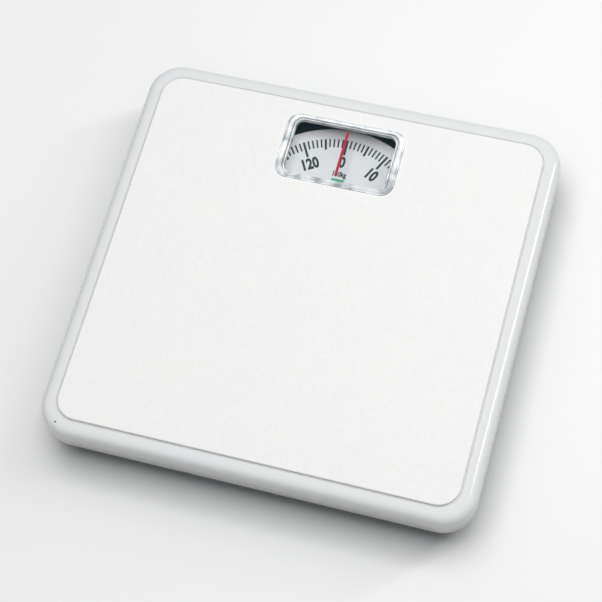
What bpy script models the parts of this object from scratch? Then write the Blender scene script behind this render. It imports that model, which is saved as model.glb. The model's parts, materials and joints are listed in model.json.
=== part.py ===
# Mechanical personal scale: pressed platform on a lever system, spring and rack-and-pinion dial.
# Metres, +Z up. Origin on the floor under the middle of the platform; the window is towards +Y.
import math

import bmesh
import bpy
from mathutils import Matrix, Vector

# Overall size and the clearances that every seat and running fit uses
WIDTH = 0.270
DEPTH = 0.260
HEIGHT = 0.048
CORNER_RADIUS = 0.021
SEAT_GAP = 0.0003
RUNNING_PLAY = 0.0004
OVERRUN = 0.001
STAMPED_STEEL = 0.0015

# Platform cover, a pressed sheet with a rounded shoulder and a shallow recess for the mat
COVER_SHEET = 0.0009
SKIRT_HEIGHT = 0.0193
SHOULDER_REACH = 0.0097
SHOULDER_DROP = 0.0107
RECESS_DEPTH = 0.0008
RECESS_CLEARANCE = 0.0004
RECESS_ROUND = 0.0002

# Mat
MAT_INSET = 0.0106
MAT_CORNER_RADIUS = 0.0134
MAT_PROUD = 0.0011
MAT_EDGE_ROUND = 0.0004

# Window: bezel, lens and pointer
WINDOW_REAR_MARGIN = 0.0426
BEZEL_WIDTH = 0.0768
BEZEL_DEPTH = 0.0458
BEZEL_CORNER_RADIUS = 0.0085
BEZEL_SIDE_BAND = 0.0061
BEZEL_END_BAND = 0.0043
BEZEL_INNER_RADIUS = 0.0050
BEZEL_PROUD = 0.0016
BEZEL_LIP_DEPTH = 0.0006
BEZEL_SKIRT_DEPTH = 0.0045
LENS_DEPTH = 0.0018
LENS_THICKNESS = 0.0020
POINTER_WIDTH = 0.0014
POINTER_LENGTH = 0.0314
POINTER_THICKNESS = 0.0006
POINTER_LEAD = 0.0026
# Across the bezel's band, from its outer edge (0) to its inner edge (1), and up to its crown (1)
BEZEL_CROWN_SHARES = ((0.0, 0.0), (0.07, 0.55), (0.22, 0.92), (0.40, 1.0), (0.62, 0.86), (0.84, 0.42))
BEZEL_SKIRT_OUTER_SHARE = 0.50
BEZEL_SKIRT_INNER_SHARE = 0.72

# Dial disc, on the vertical shaft that the rack turns
DIAL_BEFORE_WINDOW = 0.0399
DIAL_RADIUS = 0.0664
DIAL_THICKNESS = 0.0006
DIAL_ABOVE_RACK = 0.0046
DIAL_SEGMENTS = 72

# Base pan, a pressed tray with a rounded foot and a stiffening bead
BASE_INSET = 0.0055
BASE_SHEET = 0.0009
BASE_RIM_CLEARANCE = 0.0092
BASE_FOOT_RADIUS = 0.0080
FLOOR_UNDERSIDE = 0.0040
BEAD_INSET = 0.0350
BEAD_CORNER_RADIUS = 0.0060
BEAD_SLOPE = 0.0015
BEAD_WIDTH = 0.0060
BEAD_DEPTH = 0.0010

# Rubber feet
FOOT_SIDE_INSET = 0.0415
FOOT_END_INSET = 0.0185
FOOT_RADIUS = 0.0090
FOOT_SOLE_RADIUS = 0.0075
FOOT_CHAMFER = 0.0012
FOOT_STUD_RADIUS = 0.0027
FOOT_HEAD_RADIUS = 0.0039
FOOT_HEAD_HEIGHT = 0.0014

# Lever system: fulcrums at the four corners, noses of the long levers at the crank's bar
FULCRUM_INSET = 0.0245
KNIFE_HEIGHT = 0.0160
LOAD_ARM = 0.0240
NOSE_X = 0.0200
NOSE_BEFORE_CRANK = 0.0070
NOSE_TRAVEL = 0.0070
LEVER_WIDTH = 0.0090
LEVER_TAIL = 0.0080
LEVER_NOSE_WIDTH = 0.0066
LEVER_NOSE_OVERHANG = 0.0020
LEVER_TAPER_RUN = 0.0100
LONG_LEVER_TOP = 0.0205
LEVER_DEEP_BOTTOM = 0.0110
LEVER_SLIM_BOTTOM = 0.0135
LEVER_NOSE_RUN = 0.0110
LEVER_DEEP_RUN = 0.0340
KNIFE_WIDTH = 0.0030
KNIFE_DEPTH = 0.0026
KNIFE_OVERHANG = 0.0042
SADDLE_HEIGHT = 0.0015
SADDLE_WIDTH = 0.0030
SADDLE_LENGTH = 0.0090
SHORT_LEVER_CROWN = 0.0012
SHORT_LEVER_STEP_RUN = 0.0130
SHORT_LEVER_RAMP_RUN = 0.0070

# Fulcrum brackets on the base and posts under the platform straddle the levers
STRADDLE_GAP = 0.0013
BRACKET_LENGTH = 0.0100
NOTCH_DEPTH = 0.0028
NOTCH_HALF_WIDTH = 0.0032
BRACKET_FLANGE = 0.0050

# Bell crank that turns the noses' fall into the rack's travel
CRANK_REAR_REACH = 0.0465
CRANK_BAR_RADIUS = 0.0012
CRANK_BAR_LENGTH = 0.0520
CRANK_RACK_ARM = 0.0135
CRANK_FORK_END = 0.0170
CRANK_SPRING_ARM = 0.0090
CRANK_PLATE_X = 0.0080
CRANK_PLATE_WIDTH = 0.0058
CRANK_AXLE_RADIUS = 0.0015
CRANK_PIN_RADIUS = 0.0012
CRANK_BRACKET_FRONT = 0.0029
CRANK_BRACKET_REAR = 0.0060
CRANK_HUB_RADIUS = 0.0032
CRANK_TOE_LEAD = 0.0013
CRANK_TOE_SOLE = 0.0010
CRANK_TOE_RISE = 0.0016
CRANK_SIDE_PLAY = 0.0005
CRANK_EAR_RISE = 0.0034
PIN_HEAD = 0.0008
FORK_PLAY = 0.00045
FORK_ROOT = 0.0120

# Rack and pinion, one dial turn for the whole capacity
PINION_TEETH = 10
RACK_LEAD_TEETH = 2
RACK_SPARE_TEETH = 5
GEAR_MODULE = 0.00046
GEAR_BACKLASH = 0.00022
TOOTH_TIP_SHARE = 0.22
TOOTH_ROOT_SHARE = 0.56
ADDENDUM_SHARE = 0.80
DEDENDUM_SHARE = 1.15
RACK_THICKNESS = 0.0026
RACK_WIDTH = 0.0042
RACK_NOSE = 0.0060
RACK_HEEL = 0.0012
RACK_HOLE_DEPTH = 0.0030
RACK_PIN_RADIUS = 0.0010
PINION_LENGTH = 0.0032
SHAFT_RADIUS = 0.0015
SHAFT_TOP_ABOVE_DIAL = 0.0030

# Bridge that carries the shaft, the rack's guide and the shaft's foot bearing
BRIDGE_HALF_SPAN = 0.0200
BRIDGE_LENGTH = 0.0140
BRIDGE_FLANGE = 0.0070
BRIDGE_SHEET = 0.0012
GUIDE_SHEET = 0.0007
GUIDE_WALL = 0.0014
GUIDE_LENGTH = 0.0130
CUP_RADIUS = 0.0050
CUP_HEIGHT = 0.0040
CUP_FLOOR = 0.0010
HUB_RADIUS = 0.0080
HUB_FLANGE = 0.0012
HUB_SLEEVE_RADIUS = 0.0032
HUB_SLEEVE_LENGTH = 0.0010
NUT_RADIUS = 0.0048
NUT_HEIGHT = 0.0020
NUT_CHAMFER = 0.0005

# Main spring, between the crank's pin and the zero-setting carrier
SPRING_RADIUS = 0.0060
SPRING_WIRE = 0.0020
SPRING_PITCH = 0.0028
SPRING_TURNS = 7
SPRING_PLUG_GAP = 0.0005
EYE_FLANGE_RADIUS = 0.0068
EYE_FLANGE = 0.0020
EYE_BOSS = 0.0050
EYE_TONGUE = 0.0016
EYE_TONGUE_HEIGHT = 0.0062
EYE_TONGUE_LEAD = 0.0028
EYE_CLEARANCE = 0.0060

# Zero setting: knob, screw, carrier and bracket
CARRIER_THICKNESS = 0.0022
CARRIER_WIDTH = 0.0140
CARRIER_TOP_MARGIN = 0.0068
SCREW_RADIUS = 0.0020
SCREW_LENGTH = 0.0245
KNOB_RADIUS = 0.0078
KNOB_FLUTES = 24
KNOB_FLUTE_DEPTH = 0.0004
KNOB_CHAMFER = 0.0007
SCREW_BRACKET_WIDTH = 0.0180
SCREW_BRACKET_TOP = 0.0070

# Light spring that takes up the rack's play, and the post that holds it
TAKEUP_RADIUS = 0.0024
TAKEUP_WIRE = 0.0006
TAKEUP_TURNS = 6
TAKEUP_PITCH = 0.0032
TAKEUP_TAIL = 0.0030
POST_SHEET = 0.0012
POST_WIDTH = 0.0080
POST_HEAD = 0.0024
POST_FOOT = 0.0080
POST_LEAD = 0.0010

# Two springs that tie the platform to the base
TIE_INSET = 0.0195
TIE_RADIUS = 0.0030
TIE_WIRE = 0.0008
TIE_TURNS = 8
TIE_TOP_CLEARANCE = 0.0087
TIE_TAIL = 0.0020
TIE_TAB_WIDTH = 0.0100
TIE_TAB_REACH = 0.0110
TIE_TAB_BACK = 0.0060
TIE_TONGUE_LEAD = 0.0004
TIE_LOW_Z = 0.0085

# How far out of its curl the wire still is, at each point on its way in to a spring's axis
TAIL_INWARD_SHARES = (0.80, 0.45)

# Facets of the round forms
CORNER_STEPS = 7
SHOULDER_STEPS = 7
FOOT_ARC_STEPS = 4
ROUND_SEGMENTS = 24
SMALL_SEGMENTS = 16
CURL_POINTS = 10

# Heights and places that follow from the sizes above
RIM_Z = HEIGHT - MAT_PROUD
RECESS_Z = RIM_Z - RECESS_DEPTH
COVER_UNDERSIDE = RECESS_Z - COVER_SHEET
SKIRT_BOTTOM = HEIGHT - SKIRT_HEIGHT
FLOOR_TOP = FLOOR_UNDERSIDE + BASE_SHEET
FLOOR_SEAT = FLOOR_TOP + SEAT_GAP
LENS_TOP = HEIGHT - LENS_DEPTH
BASE_RIM_HEIGHT = COVER_UNDERSIDE - BASE_RIM_CLEARANCE
BASE_HALF_WIDTH = WIDTH / 2 - BASE_INSET
BASE_HALF_DEPTH = DEPTH / 2 - BASE_INSET
FOOT_X = BASE_HALF_WIDTH - FOOT_SIDE_INSET
FOOT_Y = BASE_HALF_DEPTH - FOOT_END_INSET
FULCRUM_X = BASE_HALF_WIDTH - FULCRUM_INSET
FULCRUM_Y = BASE_HALF_DEPTH - FULCRUM_INSET
CRANK_Y = BASE_HALF_DEPTH - CRANK_REAR_REACH
NOSE_Y = CRANK_Y - NOSE_BEFORE_CRANK
WINDOW_Y = DEPTH / 2 - WINDOW_REAR_MARGIN
POINTER_Y = WINDOW_Y + POINTER_LEAD
DIAL_Y = WINDOW_Y - DIAL_BEFORE_WINDOW
KNOB_LENGTH = BASE_INSET - COVER_SHEET - 2 * SEAT_GAP
TIE_X = BASE_HALF_WIDTH - TIE_INSET
TIE_HIGH_Z = COVER_UNDERSIDE - TIE_TOP_CLEARANCE
TIE_PITCH = (TIE_HIGH_Z - TIE_LOW_Z - 2 * (TIE_RADIUS + TIE_TAIL)) / TIE_TURNS
PINION_RADIUS = GEAR_MODULE * PINION_TEETH / 2
TOOTH_PITCH = math.pi * GEAR_MODULE
RACK_TRAVEL = 2 * math.pi * PINION_RADIUS
CRANK_HALF_SWING = math.atan(RACK_TRAVEL / (2 * CRANK_RACK_ARM))
CRANK_NOSE_ARM = NOSE_TRAVEL / (2 * math.sin(CRANK_HALF_SWING))
CRANK_Z = KNIFE_HEIGHT - CRANK_BAR_RADIUS - NOSE_TRAVEL / 2
RACK_Z = CRANK_Z + CRANK_RACK_ARM
DIAL_BOTTOM = RACK_Z + DIAL_ABOVE_RACK
DIAL_TOP = DIAL_BOTTOM + DIAL_THICKNESS
RACK_PIN_Y = CRANK_Y + RACK_TRAVEL / 2
EYE_TRAVEL = 2 * CRANK_SPRING_ARM * math.sin(CRANK_HALF_SWING)
SPRING_PIN_Y = CRANK_Y + EYE_TRAVEL / 2
SPRING_Z = CRANK_Z + CRANK_SPRING_ARM * (1 + math.cos(CRANK_HALF_SWING)) / 2
EYE_FACE_Y = SPRING_PIN_Y + EYE_CLEARANCE
LONG_ARM = math.hypot(FULCRUM_X - NOSE_X, FULCRUM_Y + NOSE_Y)
LEVER_SWING = math.asin(NOSE_TRAVEL / LONG_ARM)
PLATFORM_TRAVEL = LOAD_ARM * math.sin(LEVER_SWING)

FINISHES = {
    "white_paint": ((0.86, 0.88, 0.89), 0.28, 0.0),
    "white_mat": ((0.88, 0.88, 0.87), 0.55, 0.0),
    "clear_rim": ((0.90, 0.92, 0.94), 0.10, 0.0),
    "clear": ((0.93, 0.95, 0.96), 0.05, 0.0),
    "red": ((0.62, 0.05, 0.08), 0.45, 0.0),
    "dial_white": ((0.90, 0.91, 0.92), 0.40, 0.0),
    "dark_paint": ((0.05, 0.09, 0.10), 0.50, 0.0),
    "rubber": ((0.05, 0.05, 0.05), 0.85, 0.0),
    "zinc": ((0.62, 0.64, 0.66), 0.38, 1.0),
    "spring_steel": ((0.36, 0.37, 0.39), 0.32, 1.0),
    "brass": ((0.72, 0.56, 0.26), 0.30, 1.0),
    "black_plastic": ((0.04, 0.04, 0.04), 0.45, 0.0),
}


def clear_scene():
    for existing in list(bpy.data.objects):
        bpy.data.objects.remove(existing, do_unlink=True)


def add_object(name, bm):
    mesh = bpy.data.meshes.new(name)
    bmesh.ops.recalc_face_normals(bm, faces=bm.faces[:])
    bm.to_mesh(mesh)
    bm.free()
    made = bpy.data.objects.new(name, mesh)
    bpy.context.scene.collection.objects.link(made)
    return made


def finish(made, finish_name, smooth=True):
    color, roughness, metallic = FINISHES[finish_name]
    material = bpy.data.materials.new(made.name + "_finish")
    material.use_nodes = True
    shader = material.node_tree.nodes["Principled BSDF"]
    shader.inputs["Base Color"].default_value = (*color, 1.0)
    shader.inputs["Roughness"].default_value = roughness
    shader.inputs["Metallic"].default_value = metallic
    made.data.materials.clear()
    made.data.materials.append(material)
    if smooth:
        made.data.shade_smooth()
        made.data.set_sharp_from_angle(angle=math.radians(35))
    return made


def loft(name, rings, closed=True):
    """Skin a list of equal rings; closed joins the last to the first, otherwise both ends are capped."""
    bm = bmesh.new()
    rows = [[bm.verts.new(point) for point in ring] for ring in rings]
    count = len(rows[0])
    spans = len(rows) if closed else len(rows) - 1
    for index in range(spans):
        lower = rows[index]
        upper = rows[(index + 1) % len(rows)]
        for step in range(count):
            after = (step + 1) % count
            bm.faces.new((lower[step], lower[after], upper[after], upper[step]))
    if not closed:
        bm.faces.new(rows[0])
        bm.faces.new(rows[-1])
    return add_object(name, bm)


def prism(name, outline, depth, holes=()):
    """Extrude a flat outline, with any holes, from z = 0 up to depth."""
    bm = bmesh.new()
    for loop in (outline, *holes):
        points = [bm.verts.new((x, y, 0)) for x, y in loop]
        for index, point in enumerate(points):
            bm.edges.new((point, points[(index + 1) % len(points)]))
    filled = bmesh.ops.triangle_fill(bm, use_beauty=True, use_dissolve=False, edges=bm.edges[:])
    faces = [item for item in filled["geom"] if isinstance(item, bmesh.types.BMFace)]
    pushed = bmesh.ops.extrude_face_region(bm, geom=faces, use_keep_orig=True)
    moved = [item for item in pushed["geom"] if isinstance(item, bmesh.types.BMVert)]
    bmesh.ops.translate(bm, vec=(0, 0, depth), verts=moved)
    return add_object(name, bm)


def turned(name, profile, segments=ROUND_SEGMENTS):
    """Spin a profile of (radius, height) points about Z; one that leaves the axis is closed on itself."""
    bm = bmesh.new()
    points = [bm.verts.new((radius, 0, height)) for radius, height in profile]
    edges = [bm.edges.new(pair) for pair in zip(points, points[1:])]
    if profile[0][0] > 0:
        edges.append(bm.edges.new((points[-1], points[0])))
    bmesh.ops.spin(
        bm,
        geom=points + edges,
        cent=(0, 0, 0),
        axis=(0, 0, 1),
        angle=2 * math.pi,
        steps=segments,
        use_merge=True,
    )
    bmesh.ops.remove_doubles(bm, verts=bm.verts[:], dist=SEAT_GAP / 100)
    return add_object(name, bm)


def rod(name, radius, length, segments=SMALL_SEGMENTS):
    return turned(name, [(0, 0), (radius, 0), (radius, length), (0, length)], segments)


def circle(x, y, radius, segments=SMALL_SEGMENTS):
    turn = 2 * math.pi / segments
    return [
        (x + radius * math.cos(turn * step), y + radius * math.sin(turn * step))
        for step in range(segments)
    ]


def rectangle(left, right, low, high):
    return [(left, low), (right, low), (right, high), (left, high)]


def rounded_ring(half_width, half_depth, radius, z, center_y=0.0):
    """A rounded rectangle's points, anticlockwise from the right-hand side, at one height."""
    ring = []
    for quarter, (side_x, side_y) in enumerate(((1, 1), (-1, 1), (-1, -1), (1, -1))):
        for step in range(CORNER_STEPS + 1):
            angle = math.pi / 2 * (quarter + step / CORNER_STEPS)
            x = side_x * (half_width - radius) + radius * math.cos(angle)
            y = side_y * (half_depth - radius) + radius * math.sin(angle)
            ring.append((x, center_y + y, z))
    return ring


def boolean(target, tool, operation):
    """Join or cut two solids that are still at the origin, and drop the tool."""
    step = target.modifiers.new(operation.lower(), "BOOLEAN")
    step.operation = operation
    step.solver = "EXACT"
    step.object = tool
    depsgraph = bpy.context.evaluated_depsgraph_get()
    result = bpy.data.meshes.new_from_object(target.evaluated_get(depsgraph))
    target.modifiers.clear()
    target.data = result
    bpy.data.objects.remove(tool, do_unlink=True)
    return target


def reshape(made, matrix):
    made.data.transform(matrix)
    return made


def along_x(made, x, y, z):
    """Turn a piece modelled along +Z so that it runs along +X from a point."""
    return reshape(made, Matrix.Translation((x, y, z)) @ Matrix.Rotation(math.pi / 2, 4, "Y"))


def along_y(made, x, y, z):
    """Turn a piece modelled along +Z so that it runs along +Y from a point."""
    return reshape(made, Matrix.Translation((x, y, z)) @ Matrix.Rotation(-math.pi / 2, 4, "X"))


def sheet_across_x(name, outline, x, thickness, holes=()):
    """A plate in the YZ plane: its outline is (y, z) points, its near face is at x."""
    made = prism(name, outline, thickness, holes)
    stand = Matrix(((0, 0, 1, x), (1, 0, 0, 0), (0, 1, 0, 0), (0, 0, 0, 1)))
    return reshape(made, stand)


def sheet_across_y(name, outline, y, thickness, holes=()):
    """A plate in the XZ plane: its outline is (x, z) points, its front face is at y."""
    made = prism(name, outline, thickness, holes)
    stand = Matrix(((1, 0, 0, 0), (0, 0, -1, y + thickness), (0, 1, 0, 0), (0, 0, 0, 1)))
    return reshape(made, stand)


def set_origin(made, x, y, z):
    """Put the object's origin on its joint's axis without moving its shape."""
    made.data.transform(Matrix.Translation((-x, -y, -z)))
    made.location = (x, y, z)
    return made


def spring_tube(name, points, wire):
    """One unbroken wire through the points, as a beveled poly curve with filled ends."""
    curve = bpy.data.curves.new(name, "CURVE")
    curve.dimensions = "3D"
    curve.bevel_depth = wire / 2
    curve.bevel_resolution = 1
    curve.use_fill_caps = True
    spline = curve.splines.new("POLY")
    spline.points.add(len(points) - 1)
    for slot, point in zip(spline.points, points):
        slot.co = (*point, 1)
    made = bpy.data.objects.new(name, curve)
    bpy.context.scene.collection.objects.link(made)
    return made


def curl_points(radius, pitch, turns):
    """A helix along +Z, starting at z = 0 on the +X side."""
    steps = turns * CURL_POINTS
    points = []
    for step in range(steps + 1):
        angle = 2 * math.pi * step / CURL_POINTS
        height = pitch * step / CURL_POINTS
        points.append(Vector((radius * math.cos(angle), radius * math.sin(angle), height)))
    return points


def plain_spring_points(radius, pitch, turns, wire):
    """Helix whose two ends run straight on for one wire diameter."""
    points = curl_points(radius, pitch, turns)
    lead = (points[0] - points[1]).normalized() * wire
    trail = (points[-1] - points[-2]).normalized() * wire
    return [points[0] + lead] + points + [points[-1] + trail]


def tailed_spring_points(radius, pitch, turns, tail):
    """Helix whose ends wind in to its axis and run along it, to be held in a hole at each end."""
    points = curl_points(radius, pitch, turns)
    height = pitch * turns
    inward = TAIL_INWARD_SHARES
    start = []
    for order, share in enumerate(reversed(inward)):
        angle = -2 * math.pi * (len(inward) - order) / CURL_POINTS
        z = -radius * (1 - share)
        start.append(Vector((radius * share * math.cos(angle), radius * share * math.sin(angle), z)))
    end = []
    for order, share in enumerate(inward):
        angle = 2 * math.pi * (order + 1) / CURL_POINTS
        z = height + radius * (1 - share)
        end.append(Vector((radius * share * math.cos(angle), radius * share * math.sin(angle), z)))
    low = Vector((0, 0, -radius))
    high = Vector((0, 0, height + radius))
    tip = Vector((0, 0, tail))
    return [low - tip, low] + start + points + end + [high, high + tip]


def report_spring_gap(name, points, wire):
    """Print the least gap of a spring's wire to itself, from its centre line's points."""
    near = CURL_POINTS // 2
    least = min(
        (points[first] - points[second]).length
        for first in range(len(points))
        for second in range(first + near, len(points))
    )
    print(f"{name}: least gap to itself {(least - wire) * 1000:.2f} mm")


def corner_radius_at(inset):
    """The cover's corners tighten from the skirt's radius to the mat's."""
    return CORNER_RADIUS - (CORNER_RADIUS - MAT_CORNER_RADIUS) * inset / MAT_INSET


def platform_ring(inset, z):
    return rounded_ring(WIDTH / 2 - inset, DEPTH / 2 - inset, corner_radius_at(inset), z)


def bezel_ring(share, z, gap=0.0):
    """A ring part of the way across the bezel's band, from its outer (0) to its inner edge (1)."""
    half_width = BEZEL_WIDTH / 2 - share * BEZEL_SIDE_BAND + gap
    half_depth = BEZEL_DEPTH / 2 - share * BEZEL_END_BAND + gap
    radius = BEZEL_CORNER_RADIUS + share * (BEZEL_INNER_RADIUS - BEZEL_CORNER_RADIUS) + gap
    return rounded_ring(half_width, half_depth, radius, z, WINDOW_Y)


def window_opening(z):
    return bezel_ring(BEZEL_SKIRT_OUTER_SHARE, z, SEAT_GAP)


def make_cover():
    recess_edge = MAT_INSET - RECESS_CLEARANCE
    rings = [
        window_opening(RECESS_Z),
        platform_ring(recess_edge + RECESS_ROUND, RECESS_Z),
        platform_ring(recess_edge, RECESS_Z + RECESS_ROUND),
        platform_ring(recess_edge, RIM_Z - RECESS_ROUND),
        platform_ring(recess_edge - RECESS_ROUND, RIM_Z),
    ]
    for step in range(SHOULDER_STEPS + 1):
        angle = math.pi / 2 * step / SHOULDER_STEPS
        inset = SHOULDER_REACH * (1 - math.sin(angle))
        rings.append(platform_ring(inset, RIM_Z - SHOULDER_DROP * (1 - math.cos(angle))))
    rings.append(platform_ring(0, SKIRT_BOTTOM))
    rings.append(platform_ring(COVER_SHEET, SKIRT_BOTTOM))
    inner_reach = SHOULDER_REACH - 2 * COVER_SHEET
    inner_drop = SHOULDER_DROP - COVER_SHEET
    for step in range(SHOULDER_STEPS, -1, -1):
        angle = math.pi / 2 * step / SHOULDER_STEPS
        inset = COVER_SHEET + inner_reach * (1 - math.sin(angle))
        z = RIM_Z - COVER_SHEET - inner_drop * (1 - math.cos(angle))
        rings.append(platform_ring(inset, z))
    step_inset = recess_edge - COVER_SHEET
    rings.append(platform_ring(step_inset, RIM_Z - COVER_SHEET))
    rings.append(platform_ring(step_inset, COVER_UNDERSIDE))
    rings.append(window_opening(COVER_UNDERSIDE))
    finish(loft("platform_cover", rings), "white_paint")


def make_mat():
    bottom = RECESS_Z + SEAT_GAP
    rings = [
        window_opening(bottom),
        window_opening(HEIGHT),
        platform_ring(MAT_INSET + MAT_EDGE_ROUND, HEIGHT),
        platform_ring(MAT_INSET, HEIGHT - MAT_EDGE_ROUND),
        platform_ring(MAT_INSET, bottom),
    ]
    finish(loft("platform_mat", rings), "white_mat")


def make_window():
    seat = HEIGHT + SEAT_GAP
    rings = [bezel_ring(share, seat + rise * BEZEL_PROUD) for share, rise in BEZEL_CROWN_SHARES]
    rings.append(bezel_ring(1.0, HEIGHT - BEZEL_LIP_DEPTH))
    rings.append(bezel_ring(1.0, LENS_TOP + SEAT_GAP))
    rings.append(bezel_ring(BEZEL_SKIRT_INNER_SHARE, LENS_TOP + SEAT_GAP))
    rings.append(bezel_ring(BEZEL_SKIRT_INNER_SHARE, HEIGHT - BEZEL_SKIRT_DEPTH))
    rings.append(bezel_ring(BEZEL_SKIRT_OUTER_SHARE, HEIGHT - BEZEL_SKIRT_DEPTH))
    rings.append(bezel_ring(BEZEL_SKIRT_OUTER_SHARE, seat))
    finish(loft("window_bezel", rings), "clear_rim")

    lens_bottom = LENS_TOP - LENS_THICKNESS
    lens_rings = [
        bezel_ring(BEZEL_SKIRT_INNER_SHARE, lens_bottom, -SEAT_GAP),
        bezel_ring(BEZEL_SKIRT_INNER_SHARE, LENS_TOP, -SEAT_GAP),
    ]
    finish(loft("window_lens", lens_rings, closed=False), "clear", smooth=False)

    half_length = POINTER_LENGTH / 2
    bar = rectangle(-POINTER_WIDTH / 2, POINTER_WIDTH / 2, -half_length, half_length)
    pointer = prism("pointer", bar, POINTER_THICKNESS)
    height = lens_bottom - SEAT_GAP - POINTER_THICKNESS
    reshape(pointer, Matrix.Translation((0, POINTER_Y, height)))
    finish(pointer, "red", smooth=False)


def base_ring(inset, z):
    corner = CORNER_RADIUS - BASE_INSET
    narrowing = (corner - BEAD_CORNER_RADIUS) / (BEAD_INSET + BEAD_WIDTH)
    return rounded_ring(
        BASE_HALF_WIDTH - inset, BASE_HALF_DEPTH - inset, corner - narrowing * inset, z
    )


def bead_rings(z):
    """The stiffening bead that runs round the floor, pressed down out of it."""
    return [
        base_ring(BEAD_INSET + BEAD_WIDTH, z),
        base_ring(BEAD_INSET + BEAD_WIDTH - BEAD_SLOPE, z - BEAD_DEPTH),
        base_ring(BEAD_INSET + BEAD_SLOPE, z - BEAD_DEPTH),
        base_ring(BEAD_INSET, z),
    ]


def foot_places():
    return [(x, y) for x in (-FOOT_X, FOOT_X) for y in (-FOOT_Y, FOOT_Y)]


def make_base_pan():
    rings = bead_rings(FLOOR_UNDERSIDE)
    arc_z = FLOOR_UNDERSIDE + BASE_FOOT_RADIUS
    for step in range(FOOT_ARC_STEPS + 1):
        angle = math.pi / 2 * step / FOOT_ARC_STEPS
        inset = BASE_FOOT_RADIUS * (1 - math.sin(angle))
        rings.append(base_ring(inset, arc_z - BASE_FOOT_RADIUS * math.cos(angle)))
    rings.append(base_ring(0, BASE_RIM_HEIGHT))
    rings.append(base_ring(BASE_SHEET, BASE_RIM_HEIGHT))
    inner_radius = BASE_FOOT_RADIUS - BASE_SHEET
    for step in range(FOOT_ARC_STEPS, -1, -1):
        angle = math.pi / 2 * step / FOOT_ARC_STEPS
        inset = BASE_SHEET + inner_radius * (1 - math.sin(angle))
        rings.append(base_ring(inset, arc_z - inner_radius * math.cos(angle)))
    rings += reversed(bead_rings(FLOOR_TOP))
    pan = loft("base_pan", rings, closed=False)
    for x, y in foot_places():
        hole = rod("foot_hole", FOOT_STUD_RADIUS + SEAT_GAP, BASE_SHEET + 2 * OVERRUN)
        reshape(hole, Matrix.Translation((x, y, FLOOR_UNDERSIDE - OVERRUN)))
        boolean(pan, hole, "DIFFERENCE")
    screw_hole = rod("screw_hole", SCREW_RADIUS + RUNNING_PLAY, BASE_SHEET + 2 * OVERRUN)
    along_y(screw_hole, 0, BASE_HALF_DEPTH - BASE_SHEET - OVERRUN, SPRING_Z)
    boolean(pan, screw_hole, "DIFFERENCE")
    finish(pan, "dark_paint")


def make_feet():
    sole_top = FLOOR_UNDERSIDE - SEAT_GAP
    head = FLOOR_SEAT
    profile = [
        (0, 0),
        (FOOT_SOLE_RADIUS, 0),
        (FOOT_RADIUS, FOOT_CHAMFER),
        (FOOT_RADIUS, sole_top),
        (FOOT_STUD_RADIUS, sole_top),
        (FOOT_STUD_RADIUS, head),
        (FOOT_HEAD_RADIUS, head),
        (FOOT_STUD_RADIUS, head + FOOT_HEAD_HEIGHT),
        (0, head + FOOT_HEAD_HEIGHT),
    ]
    names = ("foot_front_left", "foot_rear_left", "foot_front_right", "foot_rear_right")
    for name, (x, y) in zip(names, foot_places()):
        foot = turned(name, profile)
        foot.location = (x, y, 0)
        finish(foot, "rubber")


def lever_angle(from_x, from_y, to_x, to_y):
    """The turn about Z that lays local +Y along the lever."""
    return math.atan2(-(to_x - from_x), to_y - from_y)


def place(made, x, y, angle):
    return reshape(made, Matrix.Translation((x, y, 0)) @ Matrix.Rotation(angle, 4, "Z"))


def straddle_outline(root_z, web_z, tip_z):
    """A hat section that straddles a lever: web and flanges at the root, two legs to the tips."""
    inner = LEVER_WIDTH / 2 + STRADDLE_GAP
    outer = inner + STAMPED_STEEL
    flange = outer + BRACKET_FLANGE
    outline = [
        (-flange, root_z),
        (-flange, web_z),
        (-outer, web_z),
        (-outer, tip_z),
        (-inner, tip_z),
        (-inner, web_z),
        (inner, web_z),
        (inner, tip_z),
        (outer, tip_z),
        (outer, web_z),
        (flange, web_z),
        (flange, root_z),
    ]
    return outline, outer


def make_straddle(name, root_z, web_z, apex_z, tip_z):
    """A stamped hat section whose legs end in V notches for a knife edge."""
    outline, outer = straddle_outline(root_z, web_z, tip_z)
    made = sheet_across_y(name, outline, -BRACKET_LENGTH / 2, BRACKET_LENGTH)
    beyond = math.copysign(OVERRUN, tip_z - apex_z)
    mouth = NOTCH_HALF_WIDTH * (abs(tip_z - apex_z) + OVERRUN) / NOTCH_DEPTH
    notch = [(-mouth, tip_z + beyond), (mouth, tip_z + beyond), (0, apex_z)]
    if beyond < 0:
        notch.reverse()
    cutter = sheet_across_x("notch", notch, -outer - OVERRUN, 2 * (outer + OVERRUN))
    return boolean(made, cutter, "DIFFERENCE")


def make_knife(name, edge_z, points_down):
    depth = KNIFE_DEPTH if points_down else -KNIFE_DEPTH
    half_length = LEVER_WIDTH / 2 + KNIFE_OVERHANG
    outline = [(0, edge_z), (KNIFE_WIDTH / 2, edge_z + depth), (-KNIFE_WIDTH / 2, edge_z + depth)]
    if not points_down:
        outline.reverse()
    return sheet_across_x(name, outline, -half_length, 2 * half_length)


def knife_slot(edge_z, points_down, station):
    """The opening in a lever's walls for its knife, a seat gap larger all round."""
    sign = 1 if points_down else -1
    half_angle = math.atan2(KNIFE_WIDTH / 2, KNIFE_DEPTH)
    tip = edge_z - sign * SEAT_GAP / math.sin(half_angle)
    back = edge_z + sign * (KNIFE_DEPTH + SEAT_GAP)
    half_width = abs(back - tip) * math.tan(half_angle)
    outline = [(station, tip), (station + half_width, back), (station - half_width, back)]
    if not points_down:
        outline.reverse()
    half_length = LEVER_WIDTH / 2 + OVERRUN
    return sheet_across_x("knife_slot", outline, -half_length, 2 * half_length)


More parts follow.
